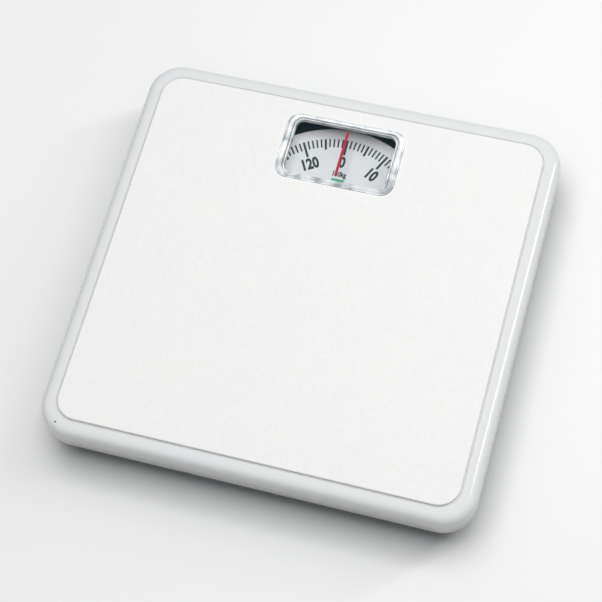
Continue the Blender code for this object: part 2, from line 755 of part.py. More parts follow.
def lever_section(station, width, bottom, top):
    """A stamped channel's section, open below, across local Y at one station."""
    half = width / 2
    inner = half - STAMPED_STEEL
    web = top - STAMPED_STEEL
    outline = [
        (-half, bottom),
        (-half, top),
        (half, top),
        (half, bottom),
        (inner, bottom),
        (inner, web),
        (-inner, web),
        (-inner, bottom),
    ]
    return [(x, station, z) for x, z in outline]


def lever_width_at(station, length):
    run = max(0.0, station - LEVER_DEEP_RUN) / (length - LEVER_DEEP_RUN)
    return LEVER_WIDTH + (LEVER_NOSE_WIDTH - LEVER_WIDTH) * min(1.0, run)


def make_lever(name, length, top, stations):
    """Loft a channel through (station, bottom height) pairs and pierce it for its two knives."""
    rings = [
        lever_section(station, lever_width_at(station, length), bottom, top)
        for station, bottom in stations
    ]
    lever = loft(name, rings, closed=False)
    boolean(lever, knife_slot(KNIFE_HEIGHT, True, 0), "DIFFERENCE")
    boolean(lever, knife_slot(KNIFE_HEIGHT, False, LOAD_ARM), "DIFFERENCE")
    return lever


def corner_fittings(corner, fulcrum, angle):
    """The base's notched bracket, the platform's notched post and the lever's two knives."""
    x, y = fulcrum
    load_x = x - LOAD_ARM * math.sin(angle)
    load_y = y + LOAD_ARM * math.cos(angle)
    web_z = FLOOR_SEAT + STAMPED_STEEL
    apex = KNIFE_HEIGHT - SEAT_GAP
    bracket = make_straddle("fulcrum_bracket_" + corner, FLOOR_SEAT, web_z, apex, apex + NOTCH_DEPTH)
    finish(place(bracket, x, y, angle), "zinc", smooth=False)
    post_top = COVER_UNDERSIDE - SEAT_GAP
    apex = KNIFE_HEIGHT + SEAT_GAP
    post = make_straddle(
        "platform_post_" + corner, post_top, post_top - STAMPED_STEEL, apex, apex - NOTCH_DEPTH
    )
    finish(place(post, load_x, load_y, angle), "zinc", smooth=False)
    fulcrum_knife = place(make_knife("fulcrum_knife_" + corner, KNIFE_HEIGHT, True), x, y, angle)
    load_knife = place(make_knife("load_knife_" + corner, KNIFE_HEIGHT, False), load_x, load_y, angle)
    for knife in (fulcrum_knife, load_knife):
        set_origin(knife, x, y, KNIFE_HEIGHT)
        finish(knife, "spring_steel", smooth=False)


def make_levers():
    link_x = FULCRUM_X - (FULCRUM_X - NOSE_X) * FULCRUM_Y / (FULCRUM_Y + NOSE_Y)
    short_arm = math.hypot(FULCRUM_X - link_x, FULCRUM_Y)
    saddle_top = LONG_LEVER_TOP + SEAT_GAP + SADDLE_HEIGHT
    short_tip = saddle_top + SEAT_GAP
    short_top = short_tip + SHORT_LEVER_CROWN + STAMPED_STEEL
    nose_bottom = KNIFE_HEIGHT + SEAT_GAP
    long_stations = [
        (-LEVER_TAIL, LEVER_DEEP_BOTTOM),
        (LEVER_DEEP_RUN, LEVER_DEEP_BOTTOM),
        (LEVER_DEEP_RUN + LEVER_TAPER_RUN, LEVER_SLIM_BOTTOM),
        (LONG_ARM - LEVER_NOSE_RUN, LEVER_SLIM_BOTTOM),
        (LONG_ARM - LEVER_NOSE_RUN / 2, nose_bottom),
        (LONG_ARM + LEVER_NOSE_OVERHANG, nose_bottom),
    ]
    short_stations = [
        (-LEVER_TAIL, LEVER_DEEP_BOTTOM),
        (LEVER_DEEP_RUN, LEVER_DEEP_BOTTOM),
        (LEVER_DEEP_RUN + LEVER_TAPER_RUN, LEVER_SLIM_BOTTOM),
        (short_arm - SHORT_LEVER_STEP_RUN - SHORT_LEVER_RAMP_RUN, LEVER_SLIM_BOTTOM),
        (short_arm - SHORT_LEVER_STEP_RUN, short_tip),
        (short_arm + SADDLE_WIDTH, short_tip),
    ]
    for side, hand in (("left", -1), ("right", 1)):
        front = (hand * FULCRUM_X, -FULCRUM_Y)
        rear = (hand * FULCRUM_X, FULCRUM_Y)
        long_angle = lever_angle(*front, hand * NOSE_X, NOSE_Y)
        short_angle = lever_angle(*rear, hand * link_x, 0)
        long_lever = make_lever("long_lever_" + side, LONG_ARM, LONG_LEVER_TOP, long_stations)
        place(long_lever, *front, long_angle)
        set_origin(long_lever, *front, KNIFE_HEIGHT)
        finish(long_lever, "zinc", smooth=False)
        short_lever = make_lever("short_lever_" + side, short_arm, short_top, short_stations)
        place(short_lever, *rear, short_angle)
        set_origin(short_lever, *rear, KNIFE_HEIGHT)
        finish(short_lever, "zinc", smooth=False)
        block = rectangle(-SADDLE_LENGTH / 2, SADDLE_LENGTH / 2, -SADDLE_WIDTH / 2, SADDLE_WIDTH / 2)
        saddle = prism("lever_saddle_" + side, block, SADDLE_HEIGHT)
        reshape(saddle, Matrix.Translation((0, 0, LONG_LEVER_TOP + SEAT_GAP)))
        place(saddle, hand * link_x, 0, short_angle)
        set_origin(saddle, *front, KNIFE_HEIGHT)
        finish(saddle, "spring_steel", smooth=False)
        corner_fittings("front_" + side, front, long_angle)
        corner_fittings("rear_" + side, rear, short_angle)


def crank_plate_outline(forked):
    """One side plate of the crank at mid swing, its pivot at the origin, as (y, z) points."""
    half = CRANK_PLATE_WIDTH / 2
    toe = -CRANK_NOSE_ARM - CRANK_TOE_LEAD
    slot = RACK_PIN_RADIUS + FORK_PLAY
    outline = [
        (toe, CRANK_TOE_RISE),
        (toe, -CRANK_TOE_SOLE),
        (-CRANK_HUB_RADIUS / 2, -CRANK_HUB_RADIUS * math.cos(math.pi / 6)),
        (CRANK_HUB_RADIUS / 2, -CRANK_HUB_RADIUS * math.cos(math.pi / 6)),
        (CRANK_HUB_RADIUS * math.cos(math.pi / 6), -CRANK_HUB_RADIUS / 2),
        (half, CRANK_HUB_RADIUS / 2),
    ]
    if forked:
        outline += [
            (half, CRANK_FORK_END),
            (slot, CRANK_FORK_END),
            (slot, FORK_ROOT),
            (-slot, FORK_ROOT),
            (-slot, CRANK_FORK_END),
            (-half, CRANK_FORK_END),
        ]
    else:
        outline += [(half, FORK_ROOT), (-half, FORK_ROOT)]
    outline.append((-half, CRANK_HUB_RADIUS))
    return outline


def make_crank():
    plates = []
    holes = [
        circle(0, 0, CRANK_AXLE_RADIUS + SEAT_GAP),
        circle(0, CRANK_SPRING_ARM, CRANK_PIN_RADIUS + SEAT_GAP),
    ]
    left_x = -CRANK_PLATE_X - STAMPED_STEEL
    for near_x, forked in ((left_x, True), (CRANK_PLATE_X, False)):
        outline = crank_plate_outline(forked)
        plates.append(sheet_across_x("bell_crank", outline, near_x, STAMPED_STEEL, holes))
    bar = rod("crank_bar", CRANK_BAR_RADIUS, CRANK_BAR_LENGTH)
    along_x(bar, -CRANK_BAR_LENGTH / 2, -CRANK_NOSE_ARM, 0)
    crank = boolean(plates[0], bar, "UNION")
    boolean(crank, plates[1], "UNION")
    crank.name = "bell_crank"
    reshape(crank, Matrix.Rotation(-CRANK_HALF_SWING, 4, "X"))
    crank.location = (0, CRANK_Y, CRANK_Z)
    finish(crank, "zinc", smooth=False)

    reach = CRANK_PLATE_X + STAMPED_STEEL + PIN_HEAD
    pin = rod("crank_spring_pin", CRANK_PIN_RADIUS, 2 * reach)
    along_x(pin, -reach, 0, CRANK_SPRING_ARM)
    reshape(pin, Matrix.Rotation(-CRANK_HALF_SWING, 4, "X"))
    pin.location = (0, CRANK_Y, CRANK_Z)
    finish(pin, "spring_steel")

    ear = CRANK_PLATE_X + STAMPED_STEEL + CRANK_SIDE_PLAY
    outer = ear + STAMPED_STEEL
    web_z = FLOOR_SEAT + STAMPED_STEEL
    top = CRANK_Z + CRANK_EAR_RISE
    channel = [
        (-outer, FLOOR_SEAT),
        (outer, FLOOR_SEAT),
        (outer, top),
        (ear, top),
        (ear, web_z),
        (-ear, web_z),
        (-ear, top),
        (-outer, top),
    ]
    length = CRANK_BRACKET_FRONT + CRANK_BRACKET_REAR
    bracket = sheet_across_y("crank_bracket", channel, CRANK_Y - CRANK_BRACKET_FRONT, length)
    hole = rod("axle_hole", CRANK_AXLE_RADIUS + SEAT_GAP, 2 * (outer + OVERRUN))
    along_x(hole, -outer - OVERRUN, CRANK_Y, CRANK_Z)
    boolean(bracket, hole, "DIFFERENCE")
    finish(bracket, "zinc", smooth=False)
    axle_reach = outer + PIN_HEAD
    axle = rod("crank_axle", CRANK_AXLE_RADIUS, 2 * axle_reach)
    along_x(axle, -axle_reach, CRANK_Y, CRANK_Z)
    finish(axle, "spring_steel")


def oval(x, y, radius, half_run):
    """A slot's outline with round ends, its long way along the second axis."""
    half_turn = SMALL_SEGMENTS // 2
    points = []
    for step in range(half_turn + 1):
        angle = math.pi * step / half_turn
        points.append((x + radius * math.cos(angle), y + half_run + radius * math.sin(angle)))
    for step in range(half_turn + 1):
        angle = math.pi + math.pi * step / half_turn
        points.append((x + radius * math.cos(angle), y - half_run + radius * math.sin(angle)))
    return points


def make_main_spring():
    boss_radius = SPRING_RADIUS - SPRING_WIRE / 2 - SPRING_PLUG_GAP
    plug = [
        (0, 0),
        (EYE_FLANGE_RADIUS, 0),
        (EYE_FLANGE_RADIUS, EYE_FLANGE),
        (boss_radius, EYE_FLANGE),
        (boss_radius, EYE_FLANGE + EYE_BOSS),
        (0, EYE_FLANGE + EYE_BOSS),
    ]
    eye = turned("spring_eye", plug)
    along_y(eye, 0, EYE_FACE_Y, SPRING_Z)
    pin_rise = CRANK_SPRING_ARM * (1 - math.cos(CRANK_HALF_SWING)) / 2
    slot = oval(SPRING_PIN_Y, SPRING_Z, CRANK_PIN_RADIUS + RUNNING_PLAY, pin_rise)
    tongue_outline = rectangle(
        SPRING_PIN_Y - EYE_TONGUE_LEAD,
        EYE_FACE_Y + OVERRUN,
        SPRING_Z - EYE_TONGUE_HEIGHT / 2,
        SPRING_Z + EYE_TONGUE_HEIGHT / 2,
    )
    tongue = sheet_across_x("tongue", tongue_outline, -EYE_TONGUE / 2, EYE_TONGUE, [slot])
    boolean(eye, tongue, "UNION")
    finish(eye, "zinc")

    first_curl_y = EYE_FACE_Y + EYE_FLANGE + SEAT_GAP + SPRING_WIRE / 2
    last_curl_y = first_curl_y + SPRING_PITCH * SPRING_TURNS
    points = plain_spring_points(SPRING_RADIUS, SPRING_PITCH, SPRING_TURNS, SPRING_WIRE)
    report_spring_gap("main_spring", points, SPRING_WIRE)
    spring = spring_tube("main_spring", points, SPRING_WIRE)
    spring.rotation_euler = (-math.pi / 2, 0, 0)
    spring.location = (0, first_curl_y, SPRING_Z)
    finish(spring, "spring_steel", smooth=False)

    carrier_y = last_curl_y + SPRING_WIRE / 2 + SEAT_GAP
    foot_z = FLOOR_SEAT + STAMPED_STEEL + SEAT_GAP
    plate = rectangle(
        -CARRIER_WIDTH / 2, CARRIER_WIDTH / 2, foot_z, SPRING_Z + CARRIER_TOP_MARGIN
    )
    carrier = sheet_across_y("spring_carrier", plate, carrier_y, CARRIER_THICKNESS)
    boss = rod("boss", boss_radius, EYE_BOSS + OVERRUN, ROUND_SEGMENTS)
    along_y(boss, 0, carrier_y - EYE_BOSS, SPRING_Z)
    boolean(carrier, boss, "UNION")
    bore_length = EYE_BOSS + CARRIER_THICKNESS + 2 * OVERRUN
    bore = rod("bore", SCREW_RADIUS + SEAT_GAP, bore_length)
    along_y(bore, 0, carrier_y - EYE_BOSS - OVERRUN, SPRING_Z)
    boolean(carrier, bore, "DIFFERENCE")
    finish(carrier, "black_plastic", smooth=False)
    return carrier_y


def fluted_ring(radius, z):
    """A knob's grip section: the radius waves in and out once for each flute."""
    count = KNOB_FLUTES * 4
    ring = []
    for step in range(count):
        angle = 2 * math.pi * step / count
        wave = KNOB_FLUTE_DEPTH / 2 * math.cos(KNOB_FLUTES * angle)
        ring.append(((radius + wave) * math.cos(angle), (radius + wave) * math.sin(angle), z))
    return ring


def quarter_bend(y, z, radius):
    """Points of a bend from straight down round to +Y, in step with the pan's own bend."""
    points = []
    for step in range(FOOT_ARC_STEPS + 1):
        angle = math.pi / 2 * step / FOOT_ARC_STEPS
        points.append((y + radius * math.sin(angle), z - radius * math.cos(angle)))
    return points


def make_zero_setting(carrier_y):
    bore = circle(0, 0, SCREW_RADIUS + SEAT_GAP, KNOB_FLUTES * 4)
    rings = [
        fluted_ring(KNOB_RADIUS - KNOB_CHAMFER, 0),
        fluted_ring(KNOB_RADIUS - KNOB_FLUTE_DEPTH / 2, KNOB_CHAMFER),
        fluted_ring(KNOB_RADIUS - KNOB_FLUTE_DEPTH / 2, KNOB_LENGTH - KNOB_CHAMFER),
        fluted_ring(KNOB_RADIUS - KNOB_CHAMFER, KNOB_LENGTH),
        [(x, y, KNOB_LENGTH) for x, y in bore],
        [(x, y, 0) for x, y in bore],
    ]
    knob = loft("zero_knob", rings)
    wall_y = BASE_HALF_DEPTH
    along_y(knob, 0, wall_y + SEAT_GAP, SPRING_Z)
    set_origin(knob, 0, wall_y + SEAT_GAP, SPRING_Z)
    finish(knob, "zinc")

    end_y = wall_y + KNOB_LENGTH
    screw = rod("zero_screw", SCREW_RADIUS, SCREW_LENGTH)
    along_y(screw, 0, end_y - SCREW_LENGTH, SPRING_Z)
    set_origin(screw, 0, end_y - SCREW_LENGTH, SPRING_Z)
    finish(screw, "spring_steel")

    ear_back = wall_y - BASE_SHEET - SEAT_GAP
    ear_front = ear_back - STAMPED_STEEL
    plate_top = FLOOR_SEAT + STAMPED_STEEL
    plate_front = carrier_y - EYE_BOSS
    bend_y = wall_y - BASE_FOOT_RADIUS
    bend_z = FLOOR_UNDERSIDE + BASE_FOOT_RADIUS
    outer_bend = BASE_FOOT_RADIUS - BASE_SHEET - SEAT_GAP
    elbow = [(plate_front, plate_top), (plate_front, FLOOR_SEAT)]
    elbow += quarter_bend(bend_y, bend_z, outer_bend)
    elbow += [(ear_back, SPRING_Z + SCREW_BRACKET_TOP), (ear_front, SPRING_Z + SCREW_BRACKET_TOP)]
    elbow += reversed(quarter_bend(bend_y, bend_z, outer_bend - STAMPED_STEEL))
    width = SCREW_BRACKET_WIDTH
    bracket = sheet_across_x("screw_bracket", elbow, -width / 2, width)
    hole = rod("screw_hole", SCREW_RADIUS + RUNNING_PLAY, STAMPED_STEEL + 2 * OVERRUN)
    along_y(hole, 0, ear_front - OVERRUN, SPRING_Z)
    boolean(bracket, hole, "DIFFERENCE")
    finish(bracket, "zinc", smooth=False)


def rack_sides():
    """The rack's tooth tips, tooth roots and plain back, as X places left of the shaft."""
    pitch_x = -(PINION_RADIUS + GEAR_BACKLASH)
    tip_x = pitch_x + ADDENDUM_SHARE * GEAR_MODULE
    root_x = pitch_x - DEDENDUM_SHARE * GEAR_MODULE
    return tip_x, root_x, root_x - RACK_WIDTH


def rack_front_y():
    return DIAL_Y - RACK_NOSE


def make_rack():
    tip_x, root_x, back_x = rack_sides()
    front = rack_front_y()
    rear = RACK_PIN_Y + RACK_PIN_RADIUS + RACK_HEEL
    outline = [(back_x, front), (root_x, front)]
    first_tooth = DIAL_Y - (RACK_LEAD_TEETH + 1 / 2) * TOOTH_PITCH
    for tooth in range(PINION_TEETH + RACK_SPARE_TEETH):
        center = first_tooth + tooth * TOOTH_PITCH
        root_half = TOOTH_ROOT_SHARE * TOOTH_PITCH / 2
        tip_half = TOOTH_TIP_SHARE * TOOTH_PITCH / 2
        outline += [
            (root_x, center - root_half),
            (tip_x, center - tip_half),
            (tip_x, center + tip_half),
            (root_x, center + root_half),
        ]
    outline += [(root_x, rear), (back_x, rear)]
    rack = prism("rack", outline, RACK_THICKNESS)
    reshape(rack, Matrix.Translation((0, 0, RACK_Z - RACK_THICKNESS / 2)))
    pin_end = CRANK_PLATE_X + STAMPED_STEEL + PIN_HEAD
    pin = rod("rack_pin", RACK_PIN_RADIUS, pin_end + back_x + OVERRUN)
    along_x(pin, -pin_end, RACK_PIN_Y, RACK_Z)
    boolean(rack, pin, "UNION")
    hole = rod("spring_hole", TAKEUP_WIRE / 2 + SEAT_GAP, RACK_HOLE_DEPTH + OVERRUN)
    along_y(hole, (root_x + back_x) / 2, front - OVERRUN, RACK_Z)
    boolean(rack, hole, "DIFFERENCE")
    set_origin(rack, 0, RACK_PIN_Y, RACK_Z)
    finish(rack, "brass", smooth=False)


def make_pinion_shaft():
    root = PINION_RADIUS - DEDENDUM_SHARE * GEAR_MODULE
    tip = PINION_RADIUS + ADDENDUM_SHARE * GEAR_MODULE
    tooth_turn = 2 * math.pi / PINION_TEETH
    outline = []
    for tooth in range(PINION_TEETH):
        center = tooth * tooth_turn
        corners = (
            (root, -TOOTH_ROOT_SHARE / 2),
            (tip, -TOOTH_TIP_SHARE / 2),
            (tip, TOOTH_TIP_SHARE / 2),
            (root, TOOTH_ROOT_SHARE / 2),
        )
        for radius, share in corners:
            angle = center + share * tooth_turn
            outline.append((radius * math.cos(angle), radius * math.sin(angle)))
    shaft_bottom = FLOOR_SEAT + CUP_FLOOR + SEAT_GAP
    shaft_top = DIAL_TOP + SHAFT_TOP_ABOVE_DIAL
    pinion_bottom = RACK_Z - PINION_LENGTH / 2
    shaft = rod("pinion_shaft", SHAFT_RADIUS, shaft_top - shaft_bottom)
    reshape(shaft, Matrix.Translation((0, 0, shaft_bottom)))
    pinion = prism("pinion", outline, PINION_LENGTH)
    reshape(pinion, Matrix.Translation((0, 0, pinion_bottom)))
    boolean(shaft, pinion, "UNION")
    shaft.location = (0, DIAL_Y, 0)
    finish(shaft, "brass", smooth=False)


def make_dial():
    bore = SHAFT_RADIUS + SEAT_GAP
    disc_profile = [
        (bore, 0),
        (DIAL_RADIUS, 0),
        (DIAL_RADIUS, DIAL_THICKNESS),
        (bore, DIAL_THICKNESS),
    ]
    disc = turned("dial_disc", disc_profile, DIAL_SEGMENTS)
    disc.location = (0, DIAL_Y, DIAL_BOTTOM)
    finish(disc, "dial_white")

    hub_profile = [
        (bore, -HUB_FLANGE - HUB_SLEEVE_LENGTH),
        (HUB_SLEEVE_RADIUS, -HUB_FLANGE - HUB_SLEEVE_LENGTH),
        (HUB_SLEEVE_RADIUS, -HUB_FLANGE),
        (HUB_RADIUS, -HUB_FLANGE),
        (HUB_RADIUS, 0),
        (bore, 0),
    ]
    hub = turned("dial_hub", hub_profile)
    hub.location = (0, DIAL_Y, DIAL_BOTTOM - SEAT_GAP)
    finish(hub, "brass")

    nut_profile = [
        (bore, 0),
        (NUT_RADIUS, 0),
        (NUT_RADIUS, NUT_HEIGHT - NUT_CHAMFER),
        (NUT_RADIUS - NUT_CHAMFER, NUT_HEIGHT),
        (bore, NUT_HEIGHT),
    ]
    nut = turned("dial_nut", nut_profile)
    nut.location = (0, DIAL_Y, DIAL_TOP + SEAT_GAP)
    finish(nut, "brass")


def make_bridge():
    top = RACK_Z - RACK_THICKNESS / 2 - GUIDE_SHEET - 2 * SEAT_GAP
    under = top - BRIDGE_SHEET
    outer = BRIDGE_HALF_SPAN
    inner = outer - BRIDGE_SHEET
    toe = outer + BRIDGE_FLANGE
    flange_top = FLOOR_SEAT + BRIDGE_SHEET
    hat = [
        (-toe, FLOOR_SEAT),
        (-inner, FLOOR_SEAT),
        (-inner, under),
        (inner, under),
        (inner, FLOOR_SEAT),
        (toe, FLOOR_SEAT),
        (toe, flange_top),
        (outer, flange_top),
        (outer, top),
        (-outer, top),
        (-outer, flange_top),
        (-toe, flange_top),
    ]
    front = DIAL_Y - BRIDGE_LENGTH / 2
    bridge = sheet_across_y("dial_bridge", hat, front, BRIDGE_LENGTH)
    hole = rod("bearing_hole", SHAFT_RADIUS + SEAT_GAP, BRIDGE_SHEET + 2 * OVERRUN)
    reshape(hole, Matrix.Translation((0, DIAL_Y, under - OVERRUN)))
    boolean(bridge, hole, "DIFFERENCE")
    finish(bridge, "zinc", smooth=False)

    _, root_x, back_x = rack_sides()
    low = top + SEAT_GAP
    wall = back_x - SEAT_GAP
    angle_section = [
        (wall - GUIDE_WALL, low),
        (root_x, low),
        (root_x, low + GUIDE_SHEET),
        (wall, low + GUIDE_SHEET),
        (wall, RACK_Z + RACK_THICKNESS / 2),
        (wall - GUIDE_WALL, RACK_Z + RACK_THICKNESS / 2),
    ]
    guide_front = DIAL_Y - GUIDE_LENGTH / 2
    guide = sheet_across_y("rack_guide", angle_section, guide_front, GUIDE_LENGTH)
    finish(guide, "black_plastic", smooth=False)

    bore = SHAFT_RADIUS + SEAT_GAP
    cup_profile = [
        (0, 0),
        (CUP_RADIUS, 0),
        (CUP_RADIUS, CUP_HEIGHT),
        (bore, CUP_HEIGHT),
        (bore, CUP_FLOOR),
        (0, CUP_FLOOR),
    ]
    cup = turned("shaft_cup", cup_profile)
    cup.location = (0, DIAL_Y, FLOOR_SEAT)
    finish(cup, "brass")


def make_takeup_spring():
    _, root_x, back_x = rack_sides()
    middle_x = (root_x + back_x) / 2
    points = tailed_spring_points(TAKEUP_RADIUS, TAKEUP_PITCH, TAKEUP_TURNS, TAKEUP_TAIL)
    report_spring_gap("rack_spring", points, TAKEUP_WIRE)
    total = TAKEUP_PITCH * TAKEUP_TURNS + 2 * (TAKEUP_RADIUS + TAKEUP_TAIL)
    rear_tip = rack_front_y() + RACK_HOLE_DEPTH - SEAT_GAP
    front_tip = rear_tip - total
    spring = spring_tube("rack_spring", points, TAKEUP_WIRE)
    spring.rotation_euler = (-math.pi / 2, 0, 0)
    spring.location = (middle_x, front_tip + TAKEUP_TAIL + TAKEUP_RADIUS, RACK_Z)
    finish(spring, "spring_steel", smooth=False)

    plate_y = front_tip + POST_LEAD
    foot_top = FLOOR_SEAT + POST_SHEET
    elbow = [
        (plate_y, FLOOR_SEAT),
        (plate_y + POST_FOOT, FLOOR_SEAT),
        (plate_y + POST_FOOT, foot_top),
        (plate_y + POST_SHEET, foot_top),
        (plate_y + POST_SHEET, RACK_Z + POST_HEAD),
        (plate_y, RACK_Z + POST_HEAD),
    ]
    post = sheet_across_x("spring_post", elbow, middle_x - POST_WIDTH / 2, POST_WIDTH)
    hole = rod("spring_hole", TAKEUP_WIRE / 2 + SEAT_GAP, POST_SHEET + 2 * OVERRUN)
    along_y(hole, middle_x, plate_y - OVERRUN, RACK_Z)
    boolean(post, hole, "DIFFERENCE")
    finish(post, "zinc", smooth=False)


def tie_tab(name, hand, root_z, tongue_z):
    """A stamped C that holds one end of a tie spring: its root on a sheet, its tongue pierced."""
    up = math.copysign(STAMPED_STEEL, tongue_z - root_z)
    back = TIE_X - TIE_TAB_BACK
    toe = back + TIE_TAB_REACH
    spine = back + STAMPED_STEEL
    section = [
        (back, root_z),
        (toe, root_z),
        (toe, root_z + up),
        (spine, root_z + up),
        (spine, tongue_z - up),
        (toe, tongue_z - up),
        (toe, tongue_z),
        (back, tongue_z),
    ]
    tab = sheet_across_y(name, section, -TIE_TAB_WIDTH / 2, TIE_TAB_WIDTH)
    hole = rod("tie_hole", TIE_WIRE / 2 + SEAT_GAP, STAMPED_STEEL + 2 * OVERRUN)
    low = min(tongue_z, tongue_z - up) - OVERRUN
    reshape(hole, Matrix.Translation((TIE_X, 0, low)))
    boolean(tab, hole, "DIFFERENCE")
    if hand < 0:
        reshape(tab, Matrix.Rotation(math.pi, 4, "Z"))
    finish(tab, "zinc", smooth=False)


def make_tie_springs():
    points = tailed_spring_points(TIE_RADIUS, TIE_PITCH, TIE_TURNS, TIE_TAIL)
    report_spring_gap("tie_spring", points, TIE_WIRE)
    for side, hand in (("left", -1), ("right", 1)):
        spring = spring_tube("tie_spring_" + side, points, TIE_WIRE)
        spring.location = (hand * TIE_X, 0, TIE_LOW_Z + TIE_TAIL + TIE_RADIUS)
        finish(spring, "spring_steel", smooth=False)
        low_tongue = TIE_LOW_Z + TIE_TONGUE_LEAD + STAMPED_STEEL
        tie_tab("tie_tab_lower_" + side, hand, FLOOR_SEAT, low_tongue)
        high_tongue = TIE_HIGH_Z - TIE_TONGUE_LEAD - STAMPED_STEEL
        tie_tab("tie_tab_upper_" + side, hand, COVER_UNDERSIDE - SEAT_GAP, high_tongue)


def report_motion():
    print(f"platform travel {PLATFORM_TRAVEL * 1000:.4f} mm, lever swing {LEVER_SWING:.6f} rad")
    print(f"crank swing {2 * CRANK_HALF_SWING:.6f} rad at y {CRANK_Y:.4f} z {CRANK_Z:.4f}")
    print(f"rack travel {RACK_TRAVEL * 1000:.4f} mm, spring eye travel {EYE_TRAVEL * 1000:.4f} mm")
    print(f"spring axis z {SPRING_Z * 1000:.3f} mm, rack z {RACK_Z * 1000:.3f} mm")


def build_scale():
    clear_scene()
    make_cover()
    make_mat()
    make_window()
    make_base_pan()
    make_feet()
    make_levers()
    make_crank()
    carrier_y = make_main_spring()
    make_zero_setting(carrier_y)
    make_rack()
    make_pinion_shaft()
    make_dial()
    make_bridge()
    make_takeup_spring()
    make_tie_springs()
    report_motion()


build_scale()
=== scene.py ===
# Mechanical personal scale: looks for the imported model, in metres, +Z up, window towards +Y
import json
import math

import bmesh
import bpy
from mathutils import Matrix, Vector

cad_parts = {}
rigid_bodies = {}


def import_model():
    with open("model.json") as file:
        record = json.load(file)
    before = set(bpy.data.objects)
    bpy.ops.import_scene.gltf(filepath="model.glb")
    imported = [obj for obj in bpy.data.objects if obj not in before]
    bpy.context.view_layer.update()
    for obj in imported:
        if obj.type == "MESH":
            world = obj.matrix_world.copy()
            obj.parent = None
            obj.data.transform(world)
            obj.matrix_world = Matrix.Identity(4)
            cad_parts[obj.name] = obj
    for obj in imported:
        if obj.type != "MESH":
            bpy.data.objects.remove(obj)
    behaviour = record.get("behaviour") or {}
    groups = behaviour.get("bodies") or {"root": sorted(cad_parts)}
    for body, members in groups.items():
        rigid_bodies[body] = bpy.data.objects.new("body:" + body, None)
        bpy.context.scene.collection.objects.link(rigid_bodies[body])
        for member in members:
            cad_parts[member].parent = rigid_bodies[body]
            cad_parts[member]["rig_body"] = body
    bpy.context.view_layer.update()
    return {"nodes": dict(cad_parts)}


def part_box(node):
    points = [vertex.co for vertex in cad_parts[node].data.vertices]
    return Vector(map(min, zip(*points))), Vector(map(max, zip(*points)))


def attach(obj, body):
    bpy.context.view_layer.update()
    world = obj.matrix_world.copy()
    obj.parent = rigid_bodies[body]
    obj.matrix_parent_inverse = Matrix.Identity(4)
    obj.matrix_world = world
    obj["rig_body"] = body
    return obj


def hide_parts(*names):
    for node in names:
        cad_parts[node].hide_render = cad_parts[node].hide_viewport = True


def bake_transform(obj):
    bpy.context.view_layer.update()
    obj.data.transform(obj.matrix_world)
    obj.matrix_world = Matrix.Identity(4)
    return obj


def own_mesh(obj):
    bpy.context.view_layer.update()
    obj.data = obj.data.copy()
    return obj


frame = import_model()
print("frame loaded:", len(frame["nodes"]), "nodes")


# Small helpers for shapes

helperSettings = {"weld": 1e-6, "sharp": 35, "flatsWeight": 100, "apart": 0.05, "cornerSteps": 12}


def meshObject(name, bm, sharp=helperSettings["sharp"]):
    # Turns a finished bmesh into an object at the origin, smooth but for edges over the angle
    bmesh.ops.recalc_face_normals(bm, faces=bm.faces[:])
    mesh = bpy.data.meshes.new(name)
    bm.to_mesh(mesh)
    bm.free()
    mesh.shade_smooth()
    mesh.set_sharp_from_angle(angle=math.radians(sharp))
    piece = bpy.data.objects.new(name, mesh)
    bpy.context.scene.collection.objects.link(piece)
    flats = piece.modifiers.new("flats", "WEIGHTED_NORMAL")
    flats.keep_sharp = True
    flats.weight = helperSettings["flatsWeight"]
    return piece


def weld(bm):
    bmesh.ops.remove_doubles(bm, verts=bm.verts[:], dist=helperSettings["weld"])


def ringLoop(bm, halfX, halfY, corner, centreY, z):
    # One rounded rectangle of edges: a square, stretched, with its corners bevelled. Its face is the
    # only one in the bmesh, and goes again
    square = bmesh.ops.create_grid(bm, x_segments=1, y_segments=1, size=1.0)["verts"]
    bmesh.ops.scale(bm, vec=(halfX, halfY, 1), verts=square)
    bmesh.ops.translate(bm, vec=(0, centreY, z), verts=square)
    bmesh.ops.bevel(bm, geom=square, affect="VERTICES", offset=corner, offset_type="OFFSET",
                    segments=helperSettings["cornerSteps"], profile=0.5, material=-1)
    face = bm.faces[:][0]
    edges = face.edges[:]
    verts = face.verts[:]
    bmesh.ops.delete(bm, geom=[face], context="FACES_ONLY")
    return edges, verts


def loftRings(bm, rings, closed=True, shares=()):
    # Bridges rounded rings (halfX, halfY, corner, centreY, height) in turn. They are stacked apart while
    # they are bridged, so that flat steps don't twist, and then each goes to its own height. With shares,
    # each ring's own number is kept in the attribute "share", for a material that follows the rings
    apart = helperSettings["apart"]
    layer = bm.verts.layers.float.new("share") if shares else None
    loops = [ringLoop(bm, *ring[:-1], order * apart) for order, ring in enumerate(rings)]
    for share, loop in zip(shares, loops):
        for vert in loop[1]:
            vert[layer] = share
    pairs = list(zip(loops, loops[1:]))
    if closed:
        pairs.append((loops[-1], loops[0]))
    for lower, upper in pairs:
        bmesh.ops.bridge_loops(bm, edges=lower[0] + upper[0])
    if not closed:
        bmesh.ops.contextual_create(bm, geom=loops[0][0])
        bmesh.ops.contextual_create(bm, geom=loops[-1][0])
    for order, (ring, loop) in enumerate(zip(rings, loops)):
        bmesh.ops.translate(bm, vec=(0, 0, ring[-1] - order * apart), verts=loop[1])


